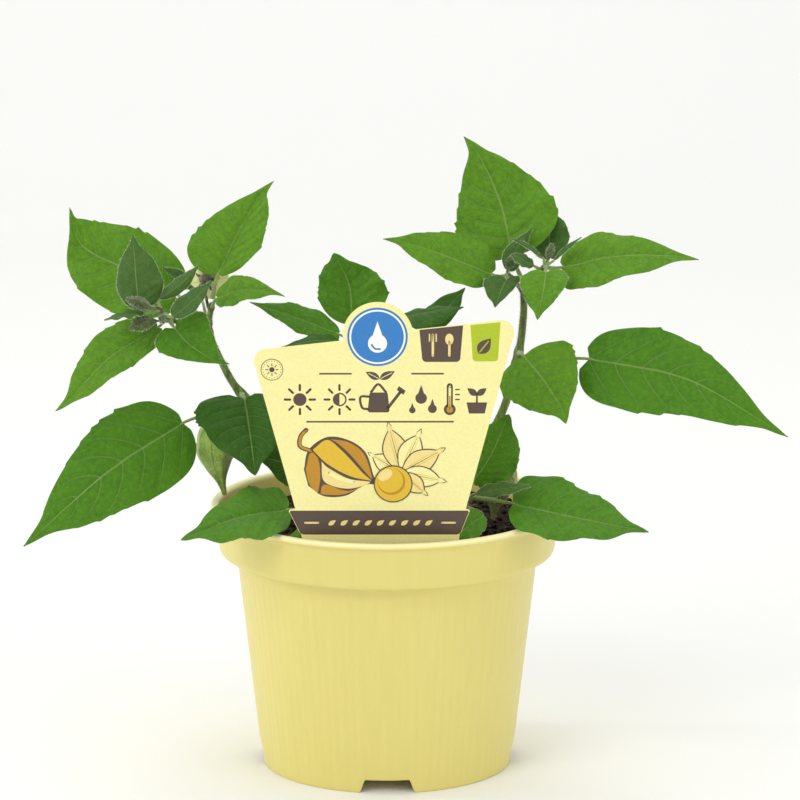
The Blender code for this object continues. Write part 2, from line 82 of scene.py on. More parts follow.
# The label: a flat card that leans outward over the rim, on a stake in the soil.
CARD_Y = -47.5
CARD_FOOT_Z = 91.0
CARD_LEAN = 3.5
CARD_THICK = 0.6
STAKE_HALF = 4.5
STAKE_FOOT_Z = 46.0
STAKE_X = -2.0
FOOT_TUCK_Z = 84.6      # the card's plain foot goes down behind the pot's lip to here


# ---- sizes and colours that a user would change ---------------------------------------------------

def linear(hex_colour):
    """Turn an sRGB hex colour into the linear values that a shader takes."""
    parts = [int(hex_colour[i:i + 2], 16) / 255 for i in (1, 3, 5)]
    return [c / 12.92 if c <= 0.04045 else ((c + 0.055) / 1.055) ** 2.4 for c in parts] + [1.0]


def colour_setting(name, hex_colour, description):
    return FloatVectorProperty(name=name, description=description, subtype="COLOR", size=4, min=0, max=1,
                               default=linear(hex_colour))


class PotSettings(PropertyGroup):
    flute_count: IntProperty(name="Flutes", description="Upright flutes moulded round the pot's body",
                             default=96, min=0, max=200)
    flute_depth: FloatProperty(name="Flute depth", description="How deep a flute is", subtype="DISTANCE",
                               unit="LENGTH", default=0.1 * MM, min=0, max=1 * MM)
    plastic: colour_setting("Plastic", "#E0D37D", "Colour of the moulded pot")
    peat: colour_setting("Peat", "#241A12", "Colour of the damp potting soil")


class PlantSettings(PropertyGroup):
    tooth_size: FloatProperty(name="Tooth size", description="Teeth of a leaf margin, as a part of its width",
                              subtype="FACTOR", default=0.055, min=0, max=0.2)
    vein_relief: FloatProperty(name="Vein relief", description="How far the blade swells between its veins",
                               subtype="DISTANCE", unit="LENGTH", default=0.42 * MM, min=0, max=1.5 * MM)
    hair_length: FloatProperty(name="Hair length", description="Hairs of stems, buds and young leaf margins",
                               subtype="DISTANCE", unit="LENGTH", default=0.9 * MM, min=0.1 * MM, max=3 * MM)
    # Painted light and shade: the sunlit leaf colour is a lighter and the shaded leaf colour a darker copy of
    # the grown leaf colour, for leaves in the light and leaves in shade.
    sunlit: colour_setting("Sunlit leaf", "#5A8C1E", "Colour of a full grown leaf at the top")
    grown: colour_setting("Grown leaf", "#4B8018", "Colour of a leaf in full growth")
    shaded: colour_setting("Shaded leaf", "#335F14", "Colour of a leaf low in the plant")
    young: colour_setting("Young leaf", "#466A2E", "Colour of a leaf that is still unfolding")
    petals: colour_setting("Petals", "#E6E3A6", "Colour of the open flower")


class LabelSettings(PropertyGroup):
    card: colour_setting("Card", "#F5EDA2", "Colour of the label's card")
    brown: colour_setting("Brown ink", "#56453A", "Colour of the foot band, the rules and the pictograms")
    blue: colour_setting("Blue ink", "#2E7CC2", "Colour of the round mark at the top")
    lime: colour_setting("Lime ink", "#AFC21B", "Colour of the tab on the right")


class StageSettings(PropertyGroup):
    key_power: FloatProperty(name="Key light", description="Power of the large soft light", subtype="POWER",
                             unit="POWER", default=9.5, min=0)
    floor: colour_setting("Floor", "#FAFAF8", "Colour of the plain floor and backdrop")


# ---- meshes ---------------------------------------------------------------------------------------

def place(point):
    """Metres in the frame from millimetres about the pot's axis."""
    return POT_FOOT + Vector(point) * MM


class Shape:
    """Points, faces and their finishes, gathered in millimetres before they become one piece.

    A mark is a pair of numbers kept with each point, such as how far along and across a leaf it lies.
    """

    def __init__(self):
        self.points = []
        self.faces = []
        self.finishes = []
        self.marks = []

    def add(self, points, faces, finish=0, marks=None):
        start = len(self.points)
        self.points += [tuple(p) for p in points]
        self.faces += [tuple(start + i for i in face) for face in faces]
        self.finishes += [finish] * len(faces)
        self.marks += marks or [(0.5, 0.0)] * len(points)

    def rings(self, rings, finish=0, marks=None, caps=True):
        """Join closed rings of points into a skin, closed at both ends."""
        size = len(rings[0])
        faces = []
        for i in range(len(rings) - 1):
            for k in range(size):
                after = (k + 1) % size
                low, high = i * size, (i + 1) * size
                faces.append((low + k, low + after, high + after, high + k))
        if caps:
            faces.append(tuple(range(size))[::-1])
            faces.append(tuple((len(rings) - 1) * size + k for k in range(size)))
        self.add([p for ring in rings for p in ring], faces, finish, marks)

    def become(self, name, materials, nodes=(), sharp=45, flat=False):
        """Make the piece: it rides on the plant's one body and stands for its nodes of the frame."""
        data = bpy.data.meshes.new(name)
        data.from_pydata([place(p) for p in self.points], [], self.faces)
        data.polygons.foreach_set("material_index", self.finishes)
        layer = data.uv_layers.new(name="marks")
        corners = [0] * len(data.loops)
        data.loops.foreach_get("vertex_index", corners)
        layer.data.foreach_set("uv", [value for corner in corners for value in self.marks[corner]])
        if not flat:
            data.shade_smooth()
            data.set_sharp_from_angle(angle=radians(sharp))
        for surface in materials:
            data.materials.append(surface)
        data.validate()
        piece = bpy.data.objects.new(name, data)
        bpy.context.scene.collection.objects.link(piece)
        if nodes:
            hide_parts(*nodes)
        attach(piece, "root")


def smooth_point(points, at):
    """A point on the smooth curve through given points, with at from 0 to 1."""
    along = min(max(at, 0.0), 1.0) * (len(points) - 1)
    i = min(int(along), len(points) - 2)
    t = along - i
    b, c = Vector(points[i]), Vector(points[i + 1])
    a = Vector(points[i - 1]) if i > 0 else 2 * b - c
    d = Vector(points[i + 2]) if i + 2 < len(points) else 2 * c - b
    return 0.5 * (2 * b + (c - a) * t + (2 * a - 5 * b + 4 * c - d) * t * t
                  + (3 * b - a - 3 * c + d) * t ** 3)


def heading(points, at):
    return (smooth_point(points, at + 0.01) - smooth_point(points, at - 0.01)).normalized()


def spread_value(values, at):
    """A value from a list that is spread evenly from 0 to 1, smoothed between its entries."""
    along = min(max(at, 0.0), 1.0) * (len(values) - 1)
    i = min(int(along), len(values) - 2)
    t = along - i
    a = values[max(i - 1, 0)]
    b, c = values[i], values[i + 1]
    d = values[min(i + 2, len(values) - 1)]
    curved = 0.5 * (2 * b + (c - a) * t + (2 * a - 5 * b + 4 * c - d) * t * t
                    + (3 * b - a - 3 * c + d) * t ** 3)
    return min(max(curved, min(b, c)), max(b, c))


def tube(shape, route, radius, stations, sides, finish=0, form=None):
    """A tube along a smooth route. radius gives it at 0 to 1, and form swells it by place and turn."""
    rings, marks = [], []
    side = None
    for i in range(stations + 1):
        at = i / stations
        here = smooth_point(route, at)
        ahead = heading(route, at)
        side = side or ahead.orthogonal().normalized()
        side = (side - ahead * side.dot(ahead)).normalized()
        other = ahead.cross(side)
        ring = []
        for k in range(sides):
            turn = 2 * pi * k / sides
            reach = radius(at) * (form(at, turn) if form else 1)
            ring.append(here + reach * (cos(turn) * side + sin(turn) * other))
            marks.append((at, k / sides))
        rings.append(ring)
    shape.rings(rings, finish, marks)


def hair(shape, foot, direction, length, width, finish):
    """One tapered hair with three sides."""
    side = direction.orthogonal().normalized() * width
    other = direction.cross(side).normalized() * width
    points = [foot + side, foot - 0.5 * side + 0.87 * other, foot - 0.5 * side - 0.87 * other]
    points.append(foot + direction * length)
    shape.add(points, [(0, 1, 3), (1, 2, 3), (2, 0, 3)], finish)


# ---- materials ------------------------------------------------------------------------------------

def set_inputs(node, **values):
    """Link a socket to an input or set a constant on it, by its name or, as i0 or i6, by its number."""
    for key, value in values.items():
        target = node.inputs[int(key[1:])] if key[1:].isdigit() else node.inputs[key.replace("_", " ")]
        if isinstance(value, bpy.types.NodeSocket):
            node.id_data.links.new(value, target)
        else:
            target.default_value = value


def add_node(tree, kind, out=0, settings=None, **values):
    """Add a node with its settings and inputs, and give back one of its outputs."""
    node = tree.nodes.new("ShaderNode" + kind)
    for key, value in (settings or {}).items():
        setattr(node, key, value)
    set_inputs(node, **values)
    return node.outputs[out]


def new_material(name, roughness, specular=0.5, ior=1.5):
    """A material with its shader; the constants stay on the shader's own sockets."""
    surface = bpy.data.materials.new(name)
    surface.use_nodes = True
    shader = surface.node_tree.nodes["Principled BSDF"]
    set_inputs(shader, Roughness=roughness, Specular_IOR_Level=specular, IOR=ior)
    return surface, surface.node_tree, shader


def patches(tree, size_mm, low=0.0, high=1.0, start=0.0, end=1.0, detail=3.0):
    """Soft random patches of about the given size, with their low..high spread over start..end."""
    cloud = add_node(tree, "TexNoise", Vector=add_node(tree, "TexCoord", "Object"), Scale=1 / (size_mm * MM),
                     Detail=detail)
    return add_node(tree, "MapRange", Value=cloud, From_Min=low, From_Max=high, To_Min=start, To_Max=end)


def upright_streaks(tree, across_mm, along_mm, detail):
    """Soft streaks that run upward, with their width and length in millimetres."""
    size = (1 / (across_mm * MM), 1 / (across_mm * MM), 1 / (along_mm * MM))
    stretched = add_node(tree, "Mapping", Vector=add_node(tree, "TexCoord", "Object"), Scale=size)
    return add_node(tree, "TexNoise", Vector=stretched, Scale=1.0, Detail=detail)


def drawn_line(tree, distance, edge, gone, strength=1.0):
    """A line that is full where the distance is under edge and has faded out where it is gone."""
    line = add_node(tree, "MapRange", Value=distance, From_Min=edge, From_Max=gone, To_Min=1, To_Max=0)
    return add_node(tree, "Math", 0, {"operation": "MULTIPLY"}, i0=line, i1=strength)


def vein_net(tree, mesh_mm, bend_mm, edge, gone):
    """A net of fine veins with meshes of about the given size, each drawn out of true by up to bend_mm."""
    here = add_node(tree, "TexCoord", "Object")
    drift = add_node(tree, "TexNoise", "Color", Vector=here, Scale=1 / (3 * MM), Detail=2.0)
    bent = add_node(tree, "VectorMath", 0, {"operation": "MULTIPLY_ADD"}, i0=drift, i1=(bend_mm * MM,) * 3,
                    i2=here)
    mesh = add_node(tree, "TexVoronoi", "Distance", {"feature": "DISTANCE_TO_EDGE"}, Vector=bent,
                    Scale=1 / (mesh_mm * MM))
    return drawn_line(tree, mesh, edge, gone)


def laid_over(tree, under, over, where, strength=1.0):
    """One colour laid over another, as far as where says and no more than the given strength."""
    part = add_node(tree, "Math", 0, {"operation": "MULTIPLY"}, i0=where, i1=strength)
    return add_node(tree, "Mix", 2, {"data_type": "RGBA"}, i0=part, i6=under, i7=over)


def scaled(colour, factor):
    return [min(c * factor, 1.0) for c in colour[:3]] + [1.0]


# ---- pot and soil ---------------------------------------------------------------------------------

NOTCH_HALF = 8.5
NOTCH_SLANT = 1.2
NOTCH_HEIGHT = 4.5
NOTCH_REACH = 9.0       # the wall is drawn up from the notch over this height


def pot_plastic(settings):
    """Moulded polypropylene: a satin skin that gives one broad soft streak of light, faint flow marks
    that run upward, a slight waxy depth, and a painted highlight that makes the top of the lip paler."""
    surface, tree, shader = new_material("moulded yellow polypropylene", 0.36, 0.45, 1.49)
    base = list(settings.plastic)
    flow = add_node(tree, "MapRange", Value=upright_streaks(tree, 3, 60, 3.0), From_Min=0.3, From_Max=0.7)
    tone = laid_over(tree, scaled(base, 0.985), scaled(base, 1.015), flow)
    clouded = laid_over(tree, tone, scaled(base, 0.94), patches(tree, 25, 0.3, 0.7), 0.15)
    # Painted highlight: the top 1.9 mm of the pot, along the lip, is painted pale cream as if it caught the
    # light.
    height = add_node(tree, "SeparateXYZ", "Z", Vector=add_node(tree, "TexCoord", "Object"))
    lip = add_node(tree, "MapRange", Value=height, From_Min=(POT_HEIGHT - 1.9) * MM,
                   From_Max=(POT_HEIGHT - 0.6) * MM)
    grain = add_node(tree, "Bump", Height=patches(tree, 0.7, detail=2.0), Distance=0.006 * MM, Strength=0.3)
    set_inputs(shader, Base_Color=laid_over(tree, clouded, linear("#FFF8C0"), lip, 0.8), Normal=grain,
               Roughness=patches(tree, 30, 0.3, 0.7, 0.34, 0.38), Subsurface_Weight=0.12,
               Subsurface_Radius=(1.0, 0.8, 0.35), Subsurface_Scale=1.2 * MM)
    return surface


def notch_height(turn):
    """How high the wall's foot stands at this turn: zero at the feet, up inside a notch."""
    step = 2 * pi / NOTCH_COUNT
    off = (turn + pi / 2 + step / 2) % step - step / 2
    beside = abs(off) * BASE_RADIUS - NOTCH_HALF
    if beside < -NOTCH_SLANT:
        return NOTCH_HEIGHT
    if beside > NOTCH_SLANT:
        return 0.0
    t = (NOTCH_SLANT - beside) / (2 * NOTCH_SLANT)
    return NOTCH_HEIGHT * t * t * (3 - 2 * t)


def pot_turns():
    """Turns round the pot: evenly spaced, and closer together at the sides of each notch."""
    turns = [2 * pi * k / 768 for k in range(768)]
    for n in range(NOTCH_COUNT):
        for side in (-1, 1):
            middle = -pi / 2 + 2 * pi * n / NOTCH_COUNT + side * NOTCH_HALF / BASE_RADIUS
            turns += [(middle + k * 0.3 / BASE_RADIUS) % (2 * pi) for k in range(-5, 6)]
    return sorted(set(round(t, 6) for t in turns))


def outer_radius(z):
    return BASE_RADIUS + (BODY_TOP_RADIUS - BASE_RADIUS) * z / BAND_FOOT_Z


def pot_profile():
    """(radius, height, flute) from the raised floor's rim down round the foot, up to the lip and in again."""
    flare = (LIP_RADIUS - 1.4 - BAND_FOOT_RADIUS) / (POT_HEIGHT - 2.2 - BAND_FOOT_Z)
    inside_foot = [(outer_radius(z) - WALL, z, 0) for z in (4.2, 2.8, 1.5, 0.5)]
    foot = [(BASE_RADIUS + out, z, 0) for out, z in
            ((0.15 - WALL, 0.1), (-0.75, 0), (-0.35, 0.05), (-0.1, 0.3), (0.02, 0.8))]
    foot += [(outer_radius(z), z, 0) for z in (1.6, 2.4)]
    heights = [3.0, 3.8, 4.6, 5.2, 6, 7, 8] + list(range(10, 66, 3)) + [66, 68, 69.5, 70.5]
    body = [(outer_radius(z), z, min(1, (z - 3.0) / 4, (70.5 - z) / 3)) for z in heights]
    under_band = [(outer_radius(72) + 0.05, 72, 0)]
    under_band += [(BODY_TOP_RADIUS + out, z, 0) for out, z in ((0.25, 73.2), (0.6, 73.8), (1.3, 74.1))]
    under_band += [(BAND_FOOT_RADIUS - back, z, 0) for back, z in
                   ((2.2, 74.15), (1.0, 74.25), (0.35, 74.5), (0, 75.1))]
    band = [(BAND_FOOT_RADIUS + flare * (z - BAND_FOOT_Z), z, 0) for z in (76.5, 79, 82, 85, 86.8, 87.8)]
    lip = [(LIP_RADIUS - back, z, 0) for back, z in
           ((1.05, 88.35), (0.55, 88.65), (0.15, 89.05), (0, 89.5), (0.08, 90.0), (0.4, 90.4),
            (0.9, POT_HEIGHT), (1.8, POT_HEIGHT), (2.4, 90.45), (2.75, 90.05), (2.95, 89.2))]
    inside_band = [(BAND_FOOT_RADIUS - WALL + flare * (z - BAND_FOOT_Z) * 0.9, z, 0)
                   for z in (87, 83, 79, 77.4)]
    shoulder = [(BAND_FOOT_RADIUS - 1.5, 76.5, 0), (BAND_FOOT_RADIUS - 2.2, 75.8, 0),
                (BODY_TOP_RADIUS, 75.5, 0), (BODY_TOP_RADIUS - 0.9, 75.2, 0),
                (BODY_TOP_RADIUS - 1.3, 74.2, 0)]
    inside_body = [(outer_radius(z) - WALL, z, 0) for z in (60, 40, 20, 6.4)]
    return inside_foot + foot + body + under_band + band + lip + inside_band + shoulder + inside_body


def build_pot(settings):
    """One moulded cup with fluted sides, a deep rim band, a thin lip with a painted highlight, and notches
    between its feet.
    """
    turns = pot_turns()
    rings = []
    for radius, z, flute in pot_profile():
        ring = []
        for turn in turns:
            lifted = notch_height(turn)
            height = z if z >= NOTCH_REACH else lifted + z * (1 - lifted / NOTCH_REACH)
            if radius < outer_radius(z) - 0.9 and z < FLOOR_Z:
                height = min(height, FLOOR_Z - 0.2)
            depth = settings.flute_depth / MM * flute * (0.5 - 0.5 * cos(settings.flute_count * turn)) ** 1.5
            reach = radius - depth
            ring.append((reach * cos(turn), reach * sin(turn), height))
        rings.append(ring)
    floor_rims = []
    for z in (FLOOR_Z + WALL, FLOOR_Z):
        edge = outer_radius(z) - WALL
        floor_rims.append([(edge * cos(t), edge * sin(t), z) for t in turns])
    pot = Shape()
    pot.rings(rings + [floor_rims[0]], caps=False)
    pot.rings([floor_rims[1], rings[0]], caps=False)
    add_floor(pot, turns)
    pot.become("pot_body", [pot_plastic(settings)], ["pot"], sharp=35)


def add_floor(shape, turns):
    """The raised floor: a plate with a ring of round drainage holes."""
    for z, upward in ((FLOOR_Z + WALL, True), (FLOOR_Z, False)):
        mesh = bmesh.new()
        edge = outer_radius(z) - WALL
        loops = [[(edge * cos(t), edge * sin(t)) for t in turns[::4]]]
        for n in range(HOLE_COUNT):
            middle = 2 * pi * (n + 0.5) / HOLE_COUNT
            loops.append([(HOLE_RING * cos(middle) + HOLE_RADIUS * cos(2 * pi * k / 32),
                           HOLE_RING * sin(middle) + HOLE_RADIUS * sin(2 * pi * k / 32)) for k in range(32)])
        edges = []
        for loop in loops:
            ring = [mesh.verts.new((x, y, z)) for x, y in loop]
            edges += [mesh.edges.new((ring[k - 1], ring[k])) for k in range(len(ring))]
        bmesh.ops.triangle_fill(mesh, use_beauty=True, edges=edges, normal=(0, 0, 1))
        mesh.verts.index_update()
        faces = [[v.index for v in f.verts] for f in mesh.faces]
        for face, f in zip(faces, mesh.faces):
            if (f.normal.z > 0) != upward:
                face.reverse()
        shape.add([v.co.copy() for v in mesh.verts], faces)
        mesh.free()
    for n in range(HOLE_COUNT):
        middle = 2 * pi * (n + 0.5) / HOLE_COUNT
        rings = [[(HOLE_RING * cos(middle) + HOLE_RADIUS * cos(-2 * pi * k / 32),
                   HOLE_RING * sin(middle) + HOLE_RADIUS * sin(-2 * pi * k / 32), z) for k in range(32)]
                 for z in (FLOOR_Z, FLOOR_Z + WALL)]
        shape.rings(rings, caps=False)


def damp_peat(settings):
    """Damp peat: near black and matt, with brown fibres and a few wet glints."""
    surface, tree, shader = new_material("damp potting peat", 0.9, 0.3, 1.33)
    base = list(settings.peat)
    lumps = add_node(tree, "Bump", Height=patches(tree, 0.8, detail=4.0), Distance=0.5 * MM, Strength=0.9)
    colour = laid_over(tree, scaled(base, 0.6), scaled(base, 2.2), patches(tree, 1.2, 0.35, 0.7))
    set_inputs(shader, Base_Color=colour, Roughness=patches(tree, 3, 0.4, 0.7, 0.95, 0.6), Normal=lumps)
    return surface


def peat_fibre():
    """Wood fibre and bark crumbs: pale to mid brown, dry and matt."""
    surface, tree, shader = new_material("dry bark fibre", 0.85, 0.3, 1.4)
    colour = laid_over(tree, linear("#3A281A"), linear("#6E5236"), patches(tree, 1.5, 0.35, 0.65))
    set_inputs(shader, Base_Color=colour)
    return surface


def soil_height(x, y):
    low = noise.noise(Vector((x * 0.06, y * 0.06, 3.1)))
    fine = noise.noise(Vector((x * 0.35, y * 0.35, 7.7)))
    grit = noise.noise(Vector((x * 1.1, y * 1.1, 1.3)))
    return SOIL_Z - 0.3 + 1.5 * low + 0.9 * fine + 0.5 * grit + 0.9 * exp(-(x * x + y * y) / 500)


def build_soil(settings):
    """Loose potting soil: a lumpy top with crumbs of peat and bark, and bark fibres on it."""
    dice = Random(SEED)
    shape = Shape()
    edge = BAND_FOOT_RADIUS - WALL + 0.3
    sides = 150
    rings = []
    foot = FLOOR_Z + WALL + 0.2
    below = [(outer_radius(foot) - WALL - 0.4, foot),
             (BODY_TOP_RADIUS - WALL - 0.4, BAND_FOOT_Z + WALL + 0.3),
             (BAND_FOOT_RADIUS - WALL - 0.9, BAND_FOOT_Z + WALL + 0.9), (edge - 0.2, SOIL_Z - 3)]
    for radius, z in below:
        rings.append([(radius * cos(2 * pi * k / sides), radius * sin(2 * pi * k / sides), z)
                      for k in range(sides)])
    for step in range(46):
        radius = edge * (1 - step / 45) + 0.1
        ring = []
        for k in range(sides):
            x, y = radius * cos(2 * pi * k / sides), radius * sin(2 * pi * k / sides)
            ring.append((x, y, soil_height(x, y) - (0.8 if step == 0 else 0)))
        rings.append(ring)
    shape.rings(rings)
    for n in range(900):
        reach = (edge - 2) * dice.random() ** 0.5
        turn = dice.uniform(0, 2 * pi)
        x, y = reach * cos(turn), reach * sin(turn)
        size = dice.uniform(0.4, 1.5) * (1.6 if dice.random() < 0.08 else 1)
        crumb(shape, dice, Vector((x, y, soil_height(x, y) + size * 0.25)), size,
              0 if dice.random() < 0.75 else 1)
    for n in range(140):
        reach = (edge - 6) * dice.random() ** 0.5
        turn = dice.uniform(0, 2 * pi)
        x, y = reach * cos(turn), reach * sin(turn)
        way = Vector((dice.uniform(-1, 1), dice.uniform(-1, 1), dice.uniform(-0.1, 0.25))).normalized()
        bend = Vector((dice.uniform(-1, 1), dice.uniform(-1, 1), 0))
        length = dice.uniform(2.5, 7)
        start = Vector((x, y, soil_height(x, y) + 0.5))
        tube(shape, [start, start + way * length / 2 + bend, start + way * length], lambda at: 0.16, 4, 5, 1)
    shape.become("potting_soil_top", [damp_peat(settings), peat_fibre()], ["soil"], sharp=60)


def crumb(shape, dice, centre, size, finish):
    """An irregular lump with twelve corners."""
    tall = 0.5 * (1 + 5 ** 0.5)
    corners = [(-1, tall, 0), (1, tall, 0), (-1, -tall, 0), (1, -tall, 0), (0, -1, tall), (0, 1, tall),
               (0, -1, -tall), (0, 1, -tall), (tall, 0, -1), (tall, 0, 1), (-tall, 0, -1), (-tall, 0, 1)]
    faces = [(0, 11, 5), (0, 5, 1), (0, 1, 7), (0, 7, 10), (0, 10, 11), (1, 5, 9), (5, 11, 4), (11, 10, 2),
             (10, 7, 6), (7, 1, 8), (3, 9, 4), (3, 4, 2), (3, 2, 6), (3, 6, 8), (3, 8, 9), (4, 9, 5),
             (2, 4, 11), (6, 2, 10), (8, 6, 7), (9, 8, 1)]
    flat = dice.uniform(0.5, 1)
    points = []
    for corner in corners:
        reach = size * 0.5 * dice.uniform(0.7, 1.2)
        points.append(centre + Vector((corner[0], corner[1], corner[2] * flat)) * reach)
    shape.add(points, faces, finish)


# ---- shoots ---------------------------------------------------------------------------------------

# Each shoot: its route from the crown, and its radius at the foot and at the tip.
SHOOTS = {
    "left": ([(-6, 4, CROWN_Z), (-25, 2, 106), (-48, -1, 127), (-56, -2, 140), (-60, -2, 151),
              (-59, 0, 160)], 1.6, 0.9),
    "left_twig": ([(-60, -2, 150), (-66, -8, 153), (-73, -13, 157), (-77, -14, 161)], 0.9, 0.7),
    "right": ([(12, 4, CROWN_Z), (25, 3, 100), (38, 2, 119), (44, 1, 140), (46, 0, 154),
               (46, 0, 166)], 1.6, 1.1),
    "right_inner_twig": ([(46, 0, 163), (43, -4, 168), (40, -8, 171)], 0.9, 0.7),
    "right_outer_twig": ([(46, 0, 164), (50, -5, 170), (53, -9, 174)], 0.9, 0.7),
    "back": ([(0, 9, CROWN_Z), (-6, 13, 105), (-10, 17, 128), (-10, 18, 143)], 1.4, 0.9),
    "left_low": ([(-9, -2, CROWN_Z), (-20, -12, 88), (-28, -22, 91)], 1.2, 0.8),
    "right_low": ([(10, -5, CROWN_Z), (21, -13, 91), (28, -20, 97)], 1.2, 0.8),
}
SHOOT_PARTS = {"left": ["left", "left_twig"], "right": ["right", "right_inner_twig", "right_outer_twig"],
               "back": ["back"], "left_low": ["left_low"], "right_low": ["right_low"]}
ROOTED = ("left", "right", "back", "left_low", "right_low")


def on_shoot(shoot, at, toward, clear):
    """The point beside a shoot where a stalk starts, on the side of the shoot that it grows towards."""
    route, foot_radius, tip_radius = SHOOTS[shoot]
    here = smooth_point(route, at)
    ahead = heading(route, at)
    away = Vector(toward) - here
    if at < 1:
        away -= ahead * away.dot(ahead)
    radius = foot_radius + (tip_radius - foot_radius) * at
    return here + away.normalized() * (radius + clear)


def herb_stem():
    """Living herb stem: a satin skin with pale upright streaks, olive low down and flushed with dark
    purple where the plant forks at the top."""
    surface, tree, shader = new_material("living green herb stem", 0.5, 0.4, 1.4)
    streaks = upright_streaks(tree, 0.8, 9, 2.0)
    pale = add_node(tree, "MapRange", Value=streaks, From_Min=0.35, From_Max=0.65)
    green = laid_over(tree, linear("#4C5F28"), linear("#7C9248"), pale)
    height = add_node(tree, "SeparateXYZ", "Z", Vector=add_node(tree, "TexCoord", "Object"))
    top = add_node(tree, "MapRange", Value=height, From_Min=140 * MM, From_Max=168 * MM)
    flushed = laid_over(tree, green, linear("#40352D"), top, patches(tree, 5, 0.3, 0.6))
    ribs = add_node(tree, "Bump", Height=streaks, Distance=0.12 * MM, Strength=0.5)
    set_inputs(shader, Base_Color=flushed, Sheen_Weight=0.3, Sheen_Roughness=0.4, Normal=ribs)
    return surface


def pale_hair():
    """Plant hair: thin and nearly clear, so it reads as a pale fuzz at the edge of what carries it."""
    surface, tree, shader = new_material("pale plant hair", 0.4, 0.5, 1.5)
    set_inputs(shader, Base_Color=laid_over(tree, linear("#C4CDB0"), linear("#E6EAD8"), patches(tree, 4)))
    return surface


def stem_form(start, nodes):
    """Swells a stem at its nodes, and gives it five low ribs."""
    def form(at, turn):
        swell = sum(0.35 * exp(-((at - node) / 0.022) ** 2) for node in nodes)
        return 1 + swell + 0.05 * cos(5 * turn + start) + 0.03 * sin(31 * at + turn)
    return form


def build_shoots(settings):
    """Five shoots with swollen nodes, low ribs and short spreading hairs."""
    dice = Random(SEED + 1)
    surfaces = [herb_stem(), pale_hair()]
    for name, parts in SHOOT_PARTS.items():
        shape = Shape()
        for part in parts:
            route, foot_radius, tip_radius = SHOOTS[part]
            nodes = sorted({leaf.at for leaf in LEAVES if leaf.shoot == part} |
                           {fruit[1] for fruit in FRUITS.values() if fruit[0] == part})
            length = sum((Vector(b) - Vector(a)).length for a, b in zip(route, route[1:]))
            form = stem_form(dice.uniform(0, 6), nodes)

            def radius(at, foot=foot_radius, tip=tip_radius):
                rounded_end = min(1, ((1.001 - at) / 0.03)) ** 0.5
                flare = 0.25 * exp(-at * 18) if part in ROOTED else 0
                return (foot + (tip - foot) * at) * rounded_end * (1 + flare)
            tube(shape, route, radius, int(length / 0.8) + 8, 16, 0, form)
            for n in range(int(length * 16)):
                at = dice.uniform(0.03, 0.99)
                ahead = heading(route, at)
                side = ahead.orthogonal().normalized()
                turn = dice.uniform(0, 2 * pi)
                out = cos(turn) * side + sin(turn) * ahead.cross(side)
                foot = smooth_point(route, at) + out * radius(at) * 0.97
                way = (out + ahead * dice.uniform(-0.3, 0.6)).normalized()
                hair(shape, foot, way, settings.hair_length / MM * dice.uniform(0.5, 1.0), 0.045, 1)
        shape.become(name + "_stem", surfaces, [name + "_shoot"], sharp=70)


# ---- leaves ---------------------------------------------------------------------------------------

@dataclass
class Leaf:
    """One blade: its midrib from base to tip, and how far each half spreads where it is widest.

    left and right are as seen from the upper face with the tip up. widest is the fraction of the midrib
    where the blade is broadest, heart is how far its lobes reach back past the base, and a slender blade
    is the more drawn out at both ends.
    """
    name: str
    shoot: str
    at: float
    rib: list
    left: tuple
    right: tuple
    widest: float
    heart: float
    slender: float = 1.5


